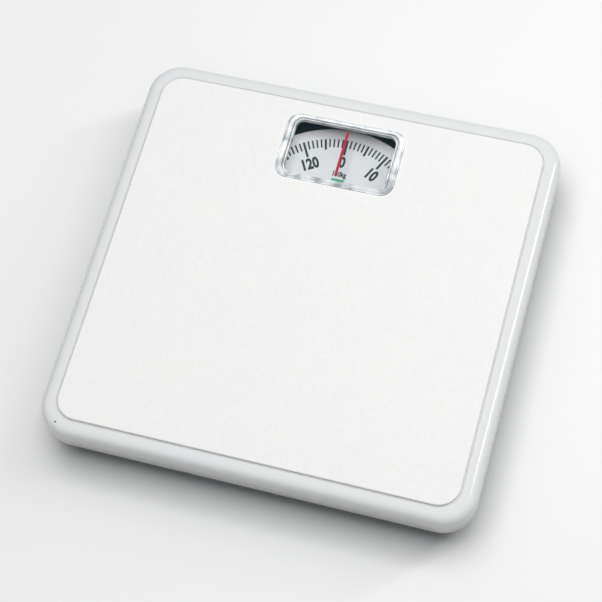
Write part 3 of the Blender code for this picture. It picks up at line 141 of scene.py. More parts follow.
def spinProfile(bm, points, segments, centre):
    # Spins a closed outline of (radius, height) points right round a vertical axis through the centre
    verts = [bm.verts.new((radius, 0, height)) for radius, height in points]
    edges = [bm.edges.new(pair) for pair in zip(verts, verts[1:] + verts[:1])]
    bmesh.ops.spin(bm, geom=verts + edges, cent=(0, 0, 0), axis=(0, 0, 1), dvec=(0, 0, 0),
                   angle=math.tau, steps=segments, use_merge=True)
    weld(bm)
    bmesh.ops.translate(bm, vec=centre, verts=bm.verts[:])


def curveMesh(curve):
    # The mesh of a curve or text, which is then removed
    holder = bpy.data.objects.new(curve.name, curve)
    bpy.context.scene.collection.objects.link(holder)
    bpy.context.view_layer.update()
    mesh = bpy.data.meshes.new_from_object(holder.evaluated_get(bpy.context.evaluated_depsgraph_get()))
    bpy.data.objects.remove(holder)
    bpy.data.curves.remove(curve)
    return mesh


def paint(piece, material):
    piece.data.materials.clear()
    piece.data.materials.append(material)


def settle(piece, body, nodes=()):
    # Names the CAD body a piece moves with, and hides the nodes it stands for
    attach(piece, body)
    if nodes:
        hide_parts(*nodes)


# Helpers for materials

def newMaterial(name, base, roughness, metallic=0.0):
    material = bpy.data.materials.new(name)
    material.use_nodes = True
    shader = material.node_tree.nodes["Principled BSDF"]
    shader.inputs["Base Color"].default_value = (*base, 1)
    shader.inputs["Roughness"].default_value = roughness
    shader.inputs["Metallic"].default_value = metallic
    return material, material.node_tree, shader


def addNode(tree, kind, **values):
    node = tree.nodes.new(kind)
    for name, value in values.items():
        node.inputs[name].default_value = value
    return node


def objectPoint(tree, scale=(1, 1, 1)):
    coords = tree.nodes.new("ShaderNodeTexCoord")
    mapping = addNode(tree, "ShaderNodeMapping", Scale=scale)
    tree.links.new(coords.outputs["Object"], mapping.inputs["Vector"])
    return mapping.outputs["Vector"]


def noiseOn(tree, vector, scale, detail=3.0, roughness=0.5):
    noise = addNode(tree, "ShaderNodeTexNoise", Scale=scale, Detail=detail, Roughness=roughness)
    tree.links.new(vector, noise.inputs["Vector"])
    return noise.outputs["Fac"]


def rampOn(tree, factor, stops):
    ramp = tree.nodes.new("ShaderNodeValToRGB")
    while len(ramp.color_ramp.elements) < len(stops):
        # Any place will do here, as it is set below
        ramp.color_ramp.elements.new(0.5)
    for element, (place, color) in zip(ramp.color_ramp.elements, stops):
        element.position = place
        element.color = (*color, 1)
    tree.links.new(factor, ramp.inputs["Fac"])
    return ramp.outputs["Color"]


def driftOn(tree, factor, stops, first, second):
    # Two close tones that come and go in soft patches
    return rampOn(tree, factor, list(zip(stops, (first, second))))


def mixOn(tree, kind, factor, first, second):
    # Mixes two colours; each input is a socket of another node or a plain value. Inputs 6 and 7 and
    # output 2 are the node's colour ones
    mix = tree.nodes.new("ShaderNodeMix")
    mix.data_type = "RGBA"
    mix.blend_type = kind
    for socket, value in ((mix.inputs[0], factor), (mix.inputs[6], first), (mix.inputs[7], second)):
        if isinstance(value, bpy.types.NodeSocket):
            tree.links.new(value, socket)
        else:
            socket.default_value = (*value, 1) if isinstance(value, tuple) else value
    return mix.outputs[2]


def mathsOn(tree, kind, operation, first, second=None, output="Value"):
    # One sum on numbers or vectors: the first input is a socket, the second a plain value
    node = tree.nodes.new(kind)
    node.operation = operation
    tree.links.new(first, node.inputs[0])
    if second is not None:
        node.inputs[1].default_value = second
    return node.outputs[output]


def rangeOn(tree, factor, target=(0, 1), source=(0, 1)):
    # Maps a number from the source range to the target range
    mapped = tree.nodes.new("ShaderNodeMapRange")
    for name, value in zip(("From Min", "From Max", "To Min", "To Max"), (*source, *target)):
        mapped.inputs[name].default_value = value
    tree.links.new(factor, mapped.inputs["Value"])
    return mapped.outputs["Result"]


def roughOn(tree, shader, factor, low, high):
    tree.links.new(rangeOn(tree, factor, (low, high)), shader.inputs["Roughness"])


def bumpOn(tree, shader, height, strength, distance):
    bump = addNode(tree, "ShaderNodeBump", Strength=strength, Distance=distance)
    tree.links.new(height, bump.inputs["Height"])
    tree.links.new(bump.outputs["Normal"], shader.inputs["Normal"])


# Materials

enamelSettings = {
    "base": (0.715, 0.728, 0.732), "warm": (0.731, 0.741, 0.741), "plainRough": 0.25,
    # painted shade: the heights over which the skirt's colour darkens, and the tones of that painted shade
    "driftScale": 14.0, "driftStops": (0.3, 0.7), "paintedShadeZ": (0.0285, 0.0440),
    "paintedShade": ((0.0, (0.37, 0.37, 0.36)), (0.6, (0.71, 0.71, 0.70)), (1.0, (1, 1, 1))),
    "chip": (-0.1211, -0.1229), "chipSize": 0.00055, "chipTone": (0.05, 0.05, 0.05),
    "rough": (0.32, 0.42), "roughScale": 60.0, "peelScale": 380.0, "peelDetail": 2.0,
    "peelStrength": 0.04, "peelDepth": 0.0002, "specular": 0.3, "coat": 0.8, "coatRough": 0.08,
}


def makeEnamel():
    # Baked white enamel with a slight orange peel under a clear gloss, with painted shade that greys it
    # down the shoulder and skirt, and one small chip by the front left corner, round where it is seen from
    # above
    s = enamelSettings
    material, tree, shader = newMaterial("whiteEnamel", s["base"], s["plainRough"])
    point = objectPoint(tree)
    tone = driftOn(tree, noiseOn(tree, point, s["driftScale"]), s["driftStops"], s["base"], s["warm"])
    split = tree.nodes.new("ShaderNodeSeparateXYZ")
    tree.links.new(point, split.inputs["Vector"])
    # Painted shade: the colour darkens towards the skirt's lower edge, where less light reaches
    height = rangeOn(tree, split.outputs["Z"], source=s["paintedShadeZ"])
    shadedTone = mixOn(tree, "MULTIPLY", 1.0, tone, rampOn(tree, height, s["paintedShade"]))
    flat = mathsOn(tree, "ShaderNodeVectorMath", "MULTIPLY", point, (1, 1, 0), "Vector")
    away = mathsOn(tree, "ShaderNodeVectorMath", "DISTANCE", flat, (*s["chip"], 0))
    chip = mathsOn(tree, "ShaderNodeMath", "LESS_THAN", away, s["chipSize"])
    tree.links.new(mixOn(tree, "MIX", chip, shadedTone, s["chipTone"]), shader.inputs["Base Color"])
    roughOn(tree, shader, noiseOn(tree, point, s["roughScale"]), *s["rough"])
    peel = noiseOn(tree, point, s["peelScale"], s["peelDetail"])
    bumpOn(tree, shader, peel, s["peelStrength"], s["peelDepth"])
    shader.inputs["Specular IOR Level"].default_value = s["specular"]
    shader.inputs["Coat Weight"].default_value = s["coat"]
    shader.inputs["Coat Roughness"].default_value = s["coatRough"]
    return material


vinylSettings = {
    "base": (0.850, 0.848, 0.838), "shade": (0.838, 0.838, 0.830), "plainRough": 0.55,
    "driftScale": 26.0, "driftDetail": 4.0, "driftStops": (0.35, 0.65),
    "mottle": (0.975, 0.975, 0.97), "mottleDetail": 3.0, "grain": 430.0, "random": 0.85,
    "rough": (0.48, 0.62), "strength": 0.35, "depth": 0.00022,
}


def makeMatVinyl():
    # White vinyl with a fine pebble grain
    s = vinylSettings
    material, tree, shader = newMaterial("whiteMat", s["base"], s["plainRough"])
    point = objectPoint(tree)
    pebble = addNode(tree, "ShaderNodeTexVoronoi", Scale=s["grain"], Randomness=s["random"])
    pebble.feature = "SMOOTH_F1"
    tree.links.new(point, pebble.inputs["Vector"])
    broadNoise = noiseOn(tree, point, s["driftScale"], s["driftDetail"])
    broad = driftOn(tree, broadNoise, s["driftStops"], s["shade"], s["base"])
    fineNoise = noiseOn(tree, point, s["grain"], s["mottleDetail"])
    mottle = driftOn(tree, fineNoise, s["driftStops"], s["mottle"], (1, 1, 1))
    tree.links.new(mixOn(tree, "MULTIPLY", 1.0, broad, mottle), shader.inputs["Base Color"])
    roughOn(tree, shader, pebble.outputs["Distance"], *s["rough"])
    bumpOn(tree, shader, pebble.outputs["Distance"], s["strength"], s["depth"])
    return material


# The painted shade lines are stops of (share, tone), where the share runs as in windowRing
rimLookSettings = {
    "base": (0.97, 0.98, 0.985), "plainRough": 0.06, "transmission": 0.4, "index": 1.49,
    "cloud": 150.0, "cloudDetail": 2.0, "cloudRough": 0.4,
    "glintsAndShade": ((0.34, (0.50, 0.54, 0.57)), (0.46, (0.80, 0.82, 0.83)), (0.56, (0.95, 0.96, 0.97))),
    "shadeLines": ((0.0, 0.26), (0.05, 0.32), (0.09, 1.0), (0.15, 1.0), (0.18, 0.40), (0.21, 0.48), (0.25, 1.0),
              (0.66, 1.0), (0.71, 0.30), (0.77, 0.45), (0.81, 1.0), (0.92, 1.0), (0.97, 0.28), (1.0, 0.28)),
    "lineTint": (0.96, 0.99, 1.0), "lineNoise": 110.0, "lineDetail": 2.0, "lineRange": (0.30, 1.30),
    "waveScale": 160.0, "waveStrength": 0.15, "waveDepth": 0.0003,
    "roughScale": 90.0, "rough": (0.04, 0.10),
}


def makeClearRim():
    # Clear moulded plastic, partly see-through, with painted highlights and painted shade in white and grey
    # blotches, where what shows through it comes and goes. Its steps show as thin painted shade lines that
    # are broken in places, and the darker a line, the bluer
    s = rimLookSettings
    material, tree, shader = newMaterial("clearRim", s["base"], s["plainRough"])
    shader.inputs["Transmission Weight"].default_value = s["transmission"]
    shader.inputs["IOR"].default_value = s["index"]
    point = objectPoint(tree)
    share = tree.nodes.new("ShaderNodeAttribute")
    share.attribute_name = "share"
    # Painted shade lines along the rim's steps, bluer where darker
    stops = [(place, tuple(tone ** (1 / tint) for tint in s["lineTint"])) for place, tone in s["shadeLines"]]
    shadeLines = rampOn(tree, share.outputs["Fac"], stops)
    # Painted highlights and painted shade in white and grey blotches
    cloud = rampOn(tree, noiseOn(tree, point, s["cloud"], s["cloudDetail"], s["cloudRough"]), s["glintsAndShade"])
    broken = rangeOn(tree, noiseOn(tree, point, s["lineNoise"], s["lineDetail"]), s["lineRange"])
    tree.links.new(mixOn(tree, "MULTIPLY", broken, cloud, shadeLines), shader.inputs["Base Color"])
    bumpOn(tree, shader, noiseOn(tree, point, s["waveScale"]), s["waveStrength"], s["waveDepth"])
    roughOn(tree, shader, noiseOn(tree, point, s["roughScale"]), *s["rough"])
    return material


paneLookSettings = {
    "base": (0.50, 0.88, 1.0), "plainRough": 0.04, "metallic": 1.0, "alpha": 0.03,
    "roughScale": 45.0, "rough": (0.02, 0.06), "waveScale": 35.0, "waveStrength": 0.05, "waveDepth": 0.0003,
}


def makePanePlastic():
    # Thin clear pane: nearly all see-through, with the faint mirror that clear plastic has
    s = paneLookSettings
    material, tree, shader = newMaterial("clearPane", s["base"], s["plainRough"], s["metallic"])
    shader.inputs["Alpha"].default_value = s["alpha"]
    point = objectPoint(tree)
    roughOn(tree, shader, noiseOn(tree, point, s["roughScale"]), *s["rough"])
    bumpOn(tree, shader, noiseOn(tree, point, s["waveScale"]), s["waveStrength"], s["waveDepth"])
    material.surface_render_method = "BLENDED"
    return material


# Paints: base, second tone, roughness, grain and, for a coarse one, its depth and strength
paintSettings = {
    "driftShare": 1 / 8, "driftDetail": 4.0, "stops": (0.35, 0.65), "roughGrainShare": 1 / 3,
    "roughShares": (0.85, 1.15), "depth": 0.0001, "strength": 0.2,
}
paints = {
    "pointerRed": ((0.50, 0.016, 0.045), (0.43, 0.013, 0.038), 0.4, 900.0),
    "dialInk": ((0.036, 0.038, 0.042), (0.044, 0.046, 0.050), 0.5, 1200.0),
    "dialGreen": ((0.06, 0.42, 0.20), (0.08, 0.38, 0.19), 0.5, 1200.0),
    "panPaint": ((0.003, 0.030, 0.043), (0.005, 0.036, 0.050), 0.42, 500.0),
    "footRubber": ((0.022, 0.022, 0.023), (0.035, 0.035, 0.035), 0.8, 800.0, 0.0002, 0.4),
    "knobPlastic": ((0.025, 0.026, 0.028), (0.032, 0.033, 0.035), 0.42, 900.0),
    "floorPaper": ((0.87, 0.87, 0.87), (0.8613, 0.8613, 0.8613), 0.8, 60.0),
}


def makePaint(name, base, second, rough, grain, depth=None, strength=None):
    # A painted, printed or moulded surface with a little drift and a fine grain
    s = paintSettings
    material, tree, shader = newMaterial(name, base, rough)
    point = objectPoint(tree)
    driftNoise = noiseOn(tree, point, grain * s["driftShare"], s["driftDetail"])
    tree.links.new(driftOn(tree, driftNoise, s["stops"], second, base), shader.inputs["Base Color"])
    roughNoise = noiseOn(tree, point, grain * s["roughGrainShare"])
    roughOn(tree, shader, roughNoise, *(rough * share for share in s["roughShares"]))
    bumpOn(tree, shader, noiseOn(tree, point, grain), strength or s["strength"], depth or s["depth"])
    return material


# Metals: base, second tone, roughness, stretch of the scratches and how metallic
metalSettings = {
    "scratchScale": 40.0, "scratchDetail": 6.0, "scratchRough": 0.65, "cloudScale": 55.0,
    "cloudDetail": 4.0, "stops": (0.3, 0.7), "roughShares": (0.7, 1.3), "strength": 0.15, "depth": 0.0001,
}
metals = {
    "zincPlate": ((0.66, 0.67, 0.68), (0.57, 0.59, 0.61), 0.38, (1, 14, 1), 0.82),
    "springSteel": ((0.30, 0.31, 0.33), (0.22, 0.23, 0.25), 0.30, (6, 6, 1), 1.0),
    "turnedBrass": ((0.66, 0.49, 0.20), (0.56, 0.40, 0.16), 0.28, (8, 8, 1), 1.0),
}


def makeMetal(name, base, second, rough, stretch, metallic):
    # Rolled or drawn metal, its scratches long in one direction; a dull plating is a little less metallic
    s = metalSettings
    material, tree, shader = newMaterial(name, base, rough, metallic)
    point = objectPoint(tree, stretch)
    scratches = noiseOn(tree, point, s["scratchScale"], s["scratchDetail"], s["scratchRough"])
    clouds = noiseOn(tree, objectPoint(tree), s["cloudScale"], s["cloudDetail"])
    tree.links.new(driftOn(tree, clouds, s["stops"], second, base), shader.inputs["Base Color"])
    roughOn(tree, shader, scratches, *(rough * share for share in s["roughShares"]))
    bumpOn(tree, shader, scratches, s["strength"], s["depth"])
    return material


enamel = makeEnamel()
matVinyl = makeMatVinyl()
clearRim = makeClearRim()
clearPane = makePanePlastic()
coats = {name: makePaint(name, *values) for name, values in paints.items()}
coats.update({name: makeMetal(name, *values) for name, values in metals.items()})
print("materials ready")


# Platform: cover, mat and window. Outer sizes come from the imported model's own boxes

coverLow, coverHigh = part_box("platform_cover")
matLow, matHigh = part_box("platform_mat")
rimLow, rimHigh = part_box("window_bezel")
paneLow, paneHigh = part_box("window_lens")
needleLow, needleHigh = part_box("pointer")

matSettings = {
    "inset": coverHigh.x - matHigh.x, "corner": 0.0134, "seatGap": 0.0003,
    "low": matLow.z, "top": matHigh.z, "round": 0.0008, "roundSteps": 5, "holeRound": 0.0002, "sharp": 50,
}
# The chamfer's points are (inset, share of the step up), and the hem's are (inset, rise)
coverSettings = {
    "halfWidth": coverHigh.x, "halfDepth": coverHigh.y, "skirtZ": coverLow.z, "rimZ": coverHigh.z,
    "recessZ": matSettings["low"] - matSettings["seatGap"], "corner": 0.021, "sheet": 0.0009,
    "shoulderReach": 0.0086, "shoulderDrop": 0.0107, "steps": 24, "insideStride": 3, "square": 3.4,
    "recessInset": 0.0102, "chamfer": ((0.0101, 0.0), (0.0094, 1.0)),
    "hem": ((0, 0.00025), (0.00008, 0.00008), (0.0003, 0)), "hemInside": 0.0003, "sharp": 40,
}
# The crown's points are (share across the band, share of the proud height)
windowSettings = {
    "centreY": (rimLow.y + rimHigh.y) / 2, "halfWidth": rimHigh.x, "halfDepth": (rimHigh.y - rimLow.y) / 2,
    "corner": 0.0085, "innerCorner": 0.005, "sideBand": 0.0061, "endBand": 0.0043,
    "seat": 0.0483, "proud": 0.0016,
    "crown": ((0.0, 0.0), (0.01, 0.22), (0.04, 0.36), (0.08, 0.42), (0.15, 0.44), (0.20, 0.36),
              (0.24, 0.42), (0.30, 0.72), (0.37, 0.92), (0.46, 1.0), (0.56, 0.97), (0.65, 0.84),
              (0.72, 0.58), (0.76, 0.30), (0.84, 0.22), (0.92, 0.20)),
    "lipShare": 0.97, "lipZ": 0.0474, "lipRound": 0.0003, "skirtZ": rimLow.z, "sharp": 35,
    "lensTop": paneHigh.z, "lensBottom": paneLow.z, "lensEdge": 0.0003, "lensSharp": 30,
    "outerShare": 0.50, "innerShare": 0.72, "gap": 0.0003,
}


def platformRing(inset, z):
    # A ring of the platform, so far in from its side; its corner gets tighter towards the mat's
    s = coverSettings
    corner = s["corner"] - (s["corner"] - matSettings["corner"]) * inset / matSettings["inset"]
    return (s["halfWidth"] - inset, s["halfDepth"] - inset, corner, 0.0, z)


def windowRing(share, z, gap=0.0):
    # A ring of the window: share 0 is the rim's outside and share 1 the edge of the view
    s = windowSettings
    corner = s["corner"] + share * (s["innerCorner"] - s["corner"]) + gap
    return (s["halfWidth"] - share * s["sideBand"] + gap, s["halfDepth"] - share * s["endBand"] + gap,
            corner, s["centreY"], z)


def shoulderRings(steps, offset, reach, drop, top):
    # The shoulder's quarter turn, a little squarer than round: flat on top and steep at the side
    power = 2 / coverSettings["square"]
    rings = []
    for step in steps:
        angle = math.pi / 2 * step / coverSettings["steps"]
        inward = reach * (1 - math.sin(angle) ** power)
        down = drop * (1 - max(0.0, math.cos(angle)) ** power)
        rings.append(platformRing(offset + inward, top - down))
    return rings


def makeCover():
    # Pressed shell: from the window's opening out over the shoulder to the hem, and back inside
    s = coverSettings
    sheet = s["sheet"]
    low = s["skirtZ"]
    gap = windowSettings["gap"]
    opening = windowSettings["outerShare"]
    rings = [windowRing(opening, s["recessZ"], gap)]
    for inset, rise in s["chamfer"]:
        rings.append(platformRing(inset, s["recessZ"] + rise * (s["rimZ"] - s["recessZ"])))
    rings += shoulderRings(range(s["steps"] + 1), 0, s["shoulderReach"], s["shoulderDrop"], s["rimZ"])
    for inset, rise in (*s["hem"], (sheet, s["hemInside"])):
        rings.append(platformRing(inset, low + rise))
    inside = range(s["steps"], -1, -s["insideStride"])
    reach = s["shoulderReach"] - 2 * sheet
    rings += shoulderRings(inside, sheet, reach, s["shoulderDrop"] - sheet, s["rimZ"] - sheet)
    for z in (s["rimZ"], s["recessZ"]):
        rings.append(platformRing(s["recessInset"] - sheet, z - sheet))
    rings.append(windowRing(opening, s["recessZ"] - sheet, gap))
    bm = bmesh.new()
    loftRings(bm, rings)
    cover = meshObject("coverShell", bm, s["sharp"])
    paint(cover, enamel)
    settle(cover, "platform", ["platform_cover"])


def makeMat():
    # Mat with a rounded outer edge and a small round at the window's hole
    s = matSettings
    share = windowSettings["outerShare"]
    gap = windowSettings["gap"]
    rings = [windowRing(share, s["low"], gap), windowRing(share, s["top"] - s["holeRound"], gap),
             windowRing(share, s["top"], gap + s["holeRound"])]
    for step in range(s["roundSteps"] + 1):
        angle = math.pi / 2 * step / s["roundSteps"]
        inset = s["inset"] + s["round"] * (1 - math.sin(angle))
        rings.append(platformRing(inset, s["top"] - s["round"] * (1 - math.cos(angle))))
    rings.append(platformRing(s["inset"], s["low"]))
    bm = bmesh.new()
    loftRings(bm, rings)
    mat = meshObject("treadMat", bm, s["sharp"])
    paint(mat, matVinyl)
    settle(mat, "platform", ["platform_mat"])


def makeRim():
    # Clear rim: a crown of steps, a lip round the view, a ledge for the pane, and a skirt in the opening.
    # It casts no shadow, as clear plastic would light the dial rather than darken it
    s = windowSettings
    ledge = s["lensTop"] + s["gap"]
    steps = [(share, s["seat"] + rise * s["proud"]) for share, rise in s["crown"]]
    steps += [(s["lipShare"], s["lipZ"] + s["lipRound"]), (1.0, s["lipZ"]), (1.0, ledge)]
    steps += [(s["innerShare"], ledge), (s["innerShare"], s["skirtZ"])]
    steps += [(s["outerShare"], s["skirtZ"]), (s["outerShare"], s["seat"])]
    bm = bmesh.new()
    loftRings(bm, [windowRing(share, z) for share, z in steps], shares=[share for share, z in steps])
    rim = meshObject("windowRim", bm, s["sharp"])
    paint(rim, clearRim)
    rim.visible_shadow = False
    settle(rim, "platform", ["window_bezel"])


def makePane():
    # Clear pane under the ledge, its edges taken off
    s = windowSettings
    share = s["innerShare"]
    edge = s["lensEdge"]
    low = s["lensBottom"]
    top = s["lensTop"]
    levels = ((low, edge), (low + edge, 0), (top - edge, 0), (top, edge))
    bm = bmesh.new()
    loftRings(bm, [windowRing(share, z, -s["gap"] - inward) for z, inward in levels], closed=False)
    pane = meshObject("windowPane", bm, s["lensSharp"])
    paint(pane, clearPane)
    settle(pane, "platform", ["window_lens"])


pointerSettings = {"width": 0.0017, "edge": 0.00012, "edgeSteps": 2}


def makePointer():
    # Thin needle in the node's place, a little wider so that it shows as it does in the photo
    s = pointerSettings
    size = needleHigh - needleLow
    bm = bmesh.new()
    bar = bmesh.ops.create_cube(bm, size=1.0)["verts"]
    bmesh.ops.scale(bm, vec=(s["width"], size.y, size.z), verts=bar)
    bmesh.ops.bevel(bm, geom=bm.edges[:], affect="EDGES", offset=s["edge"], offset_type="OFFSET",
                    segments=s["edgeSteps"], profile=0.5, material=-1)
    bmesh.ops.translate(bm, vec=(needleLow + needleHigh) / 2, verts=bm.verts[:])
    needle = meshObject("needle", bm)
    paint(needle, coats["pointerRed"])
    settle(needle, "platform", ["pointer"])


makeCover()
makeMat()
makeRim()
makePane()
makePointer()
print("platform done")


# Dial: a printed disc with marks for each kilogram

discLow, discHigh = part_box("dial_disc")

# The marks' inner radii and widths go by their kind: each ten, each five and each one. The phase in
# degrees is how far the zero stands off the pointer at rest
dialSettings = {
    "centreY": (discLow.y + discHigh.y) / 2, "radius": discHigh.x, "top": discHigh.z, "bottom": discLow.z,
    "bore": 0.0018, "edge": 0.00015, "segments": 180, "sharp": 30,
    "perTurn": 130, "labelStep": 10, "phase": -1.5, "ink": 0.00003, "lift": 0.00001,
    "outer": 0.0593, "inner": {10: 0.0484, 5: 0.0518, 1: 0.0535},
    "width": {10: 0.00145, 5: 0.00142, 1: 0.00104},
    "capShare": 0.70, "curveSteps": 3,
    "figure": {"height": 0.0074, "narrow": 0.74, "bold": 0.00046, "radius": 0.0430},
    "unitWords": "130kg", "unit": {"height": 0.0034, "narrow": 0.80, "bold": 0.00018, "radius": 0.0346},
    "barWidth": 0.0082, "barInner": 0.0294, "barOuter": 0.0312,
}
dialLookSettings = {
    "base": (0.75, 0.77, 0.79), "tones": ((0.735, 0.755, 0.775), (0.755, 0.775, 0.795)), "plainRough": 0.45,
    "driftScale": 90.0, "driftDetail": 4.0, "stops": (0.35, 0.65), "ringStart": 0.0600,
    # painted light: the ring outside the marks is made lighter and warmer
    "ringPaintedLight": (1.06, 1.01, 1.00), "roughScale": 220.0, "rough": (0.40, 0.50),
}


def makeDialWhite():
    # White print, with painted light in the ring outside the marks: a little lighter and warmer there,
    # against the shade that the window's edge casts
    s = dialLookSettings
    material, tree, shader = newMaterial("dialWhite", s["base"], s["plainRough"])
    point = objectPoint(tree)
    toCentre = (0, -dialSettings["centreY"], -dialSettings["top"])
    centred = mathsOn(tree, "ShaderNodeVectorMath", "ADD", point, toCentre, "Vector")
    reach = mathsOn(tree, "ShaderNodeVectorMath", "LENGTH", centred)
    # Painted light: a lighter, warmer tone in the ring outside the marks, where the window's edge shades
    # the dial
    outside = mathsOn(tree, "ShaderNodeMath", "GREATER_THAN", reach, s["ringStart"])
    ring = mixOn(tree, "MIX", outside, (1.0, 1.0, 1.0), s["ringPaintedLight"])
    paper = driftOn(tree, noiseOn(tree, point, s["driftScale"], s["driftDetail"]), s["stops"], *s["tones"])
    tree.links.new(mixOn(tree, "MULTIPLY", 1.0, paper, ring), shader.inputs["Base Color"])
    roughOn(tree, shader, noiseOn(tree, point, s["roughScale"]), *s["rough"])
    return material


def makeDialPlate():
    s = dialSettings
    outer = s["radius"]
    inner = outer - s["edge"]
    profile = [(s["bore"], s["bottom"]), (inner, s["bottom"]), (outer, s["bottom"] + s["edge"]),
               (outer, s["top"] - s["edge"]), (inner, s["top"]), (s["bore"], s["top"])]
    bm = bmesh.new()
    spinProfile(bm, profile, s["segments"], (0, s["centreY"], 0))
    disc = meshObject("dialPlate", bm, s["sharp"])
    paint(disc, makeDialWhite())
    settle(disc, "dial", ["dial_disc"])


def inkHeight():
    # Middle of the print, which lies just over the disc
    s = dialSettings
    return s["top"] + s["ink"] / 2 + s["lift"]


def dialTurn(kilograms):
    # Where a reading stands on the dial, turned from +Y; readings run clockwise
    s = dialSettings
    return Matrix.Rotation(math.radians(-(kilograms * 360 / s["perTurn"] + s["phase"])), 4, "Z")


def addBar(bm, width, inner, outer, turn):
    # One printed bar from the inner to the outer radius
    bar = bmesh.ops.create_cube(bm, size=1.0)["verts"]
    bmesh.ops.scale(bm, vec=(width, outer - inner, dialSettings["ink"]), verts=bar)
    bmesh.ops.translate(bm, vec=(0, (outer + inner) / 2, inkHeight()), verts=bar)
    bmesh.ops.transform(bm, matrix=turn, verts=bar)


def addWords(bm, words, style, turn):
    # A line of figures, upright at its reading, made as a text and kept as a mesh
    s = dialSettings
    curve = bpy.data.curves.new("figures", "FONT")
    curve.body = words
    curve.align_x = "CENTER"
    curve.align_y = "CENTER"
    curve.size = style["height"] / s["capShare"]
    curve.extrude = s["ink"] / 2
    curve.resolution_u = s["curveSteps"]
    curve.offset = style["bold"]
    mesh = curveMesh(curve)
    narrow = Matrix.Diagonal((style["narrow"], 1, 1, 1))
    mesh.transform(turn @ Matrix.Translation((0, style["radius"], inkHeight())) @ narrow)
    bm.from_mesh(mesh)
    bpy.data.meshes.remove(mesh)


def settlePrint(name, bm, coat):
    # Moves print from the origin to the dial's centre
    bmesh.ops.translate(bm, vec=(0, dialSettings["centreY"], 0), verts=bm.verts[:])
    piece = meshObject(name, bm, dialSettings["sharp"])
    paint(piece, coats[coat])
    settle(piece, "dial")


def makeDialPrint():
    # Marks, figures and the unit in black
    s = dialSettings
    bm = bmesh.new()
    for mark in range(s["perTurn"]):
        kind = next(step for step in s["inner"] if mark % step == 0)
        addBar(bm, s["width"][kind], s["inner"][kind], s["outer"], dialTurn(mark))
    for label in range(0, s["perTurn"], s["labelStep"]):
        addWords(bm, str(label), s["figure"], dialTurn(label))
    addWords(bm, s["unitWords"], s["unit"], dialTurn(0))
    settlePrint("dialFigures", bm, "dialInk")


def makeDialBar():
    # Short green bar under the unit
    s = dialSettings
    bm = bmesh.new()
    addBar(bm, s["barWidth"], s["barInner"], s["barOuter"], dialTurn(0))
    settlePrint("dialBar", bm, "dialGreen")


makeDialPlate()
makeDialPrint()
makeDialBar()
print("dial done")


# Finishes of the CAD nodes, by the start of a name; any other node is zinc plated

finishes = {
    "base_pan": "panPaint", "foot_": "footRubber",
    "pinion_shaft": "turnedBrass", "rack_guide": "knobPlastic", "rack_spring": "springSteel",
    "rack": "turnedBrass", "dial_hub": "turnedBrass", "dial_nut": "turnedBrass", "shaft_cup": "turnedBrass",
    "spring_carrier": "knobPlastic", "zero_screw": "springSteel", "crank_axle": "springSteel",
    "crank_spring_pin": "springSteel", "main_spring": "springSteel", "tie_spring": "springSteel",
    "fulcrum_knife": "springSteel", "load_knife": "springSteel", "lever_saddle": "springSteel",
}


def finishFor(name):
    return coats[next((coat for start, coat in finishes.items() if name.startswith(start)), "zincPlate")]


# Springs: wire along a formula's points. The anchor is the end that stays put, keep is what is left
# of the length at the joint's limit, and hold is the rack's hole

coilSettings = {
    "steps": 32, "windIn": 108, "windSteps": 8, "wireSteps": 2, "wireWeld": 1e-7,
    "main": {"radius": 0.0060, "wire": 0.0020, "turns": 7, "front": 0.09161, "rear": 0.11070,
             "height": 0.019767},
    "rack": {"radius": 0.0024, "wire": 0.0006, "turns": 6, "tail": 0.0030, "front": 0.0196, "rear": 0.0388,
             "x": -0.00515, "height": 0.0248, "anchor": 0.0164, "keep": 0.4097, "hold": 0.0442,
             "lapShare": 1 / 4},
    "tie": {"radius": 0.0030, "wire": 0.0008, "turns": 8, "tail": 0.0020, "x": 0.110, "low": 0.0135,
            "high": 0.0315, "anchor": 0.0089, "keep": 0.9675},
}
# Lays a coil that is made up +Z along +Y
upToRear = Matrix.Rotation(-math.pi / 2, 4, "X")


def coilPoint(reach, angle, z):
    return Vector((reach * math.cos(angle), reach * math.sin(angle), z))


def coilPoints(radius, height, turns, tail=0.0, closeEnd=True):
    # A helix up +Z from zero; with a tail, its ends wind in to the axis and run on along it
    s = coilSettings
    count = turns * s["steps"]
    helix = [coilPoint(radius, math.tau * step / s["steps"], height * step / count)
             for step in range(count + 1)]
    if not tail:
        return helix
    low = []
    high = []
    for step in range(1, s["windSteps"] + 1):
        share = step / s["windSteps"]
        reach = radius * math.cos(math.pi / 2 * share)
        angle = math.radians(s["windIn"]) * share
        low.append(coilPoint(reach, -angle, reach - radius))
        high.append(coilPoint(reach, angle, height + radius - reach))
    low.append(Vector((0, 0, -radius - tail)))
    if closeEnd:
        high.append(Vector((0, 0, height + radius + tail)))
    return low[::-1] + helix + high


def makeWire(name, points, wire, place):
    # A round wire along the points, as a piece in its place
    curve = bpy.data.curves.new("wire", "CURVE")
    curve.dimensions = "3D"
    curve.bevel_depth = wire / 2
    curve.bevel_resolution = coilSettings["wireSteps"]
    curve.use_fill_caps = True
    line = curve.splines.new("POLY")
    line.points.add(len(points) - 1)
    for point, spot in zip(line.points, points):
        point.co = (*spot, 1)
    mesh = curveMesh(curve)
    mesh.transform(place)
    bm = bmesh.new()
    bm.from_mesh(mesh)
    bpy.data.meshes.remove(mesh)
    bmesh.ops.remove_doubles(bm, verts=bm.verts[:], dist=coilSettings["wireWeld"])
    piece = meshObject(name, bm)
    paint(piece, coats["springSteel"])
    return piece


def makeMainSpring():
    # Weighing spring, from its carrier to the eye that the crank pulls
    s = coilSettings["main"]
    points = coilPoints(s["radius"], s["rear"] - s["front"], s["turns"])
    place = Matrix.Translation((0, s["front"], s["height"])) @ upToRear
    coil = makeWire("mainCoil", points, s["wire"], place)
    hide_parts("main_spring")
    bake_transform(coil)


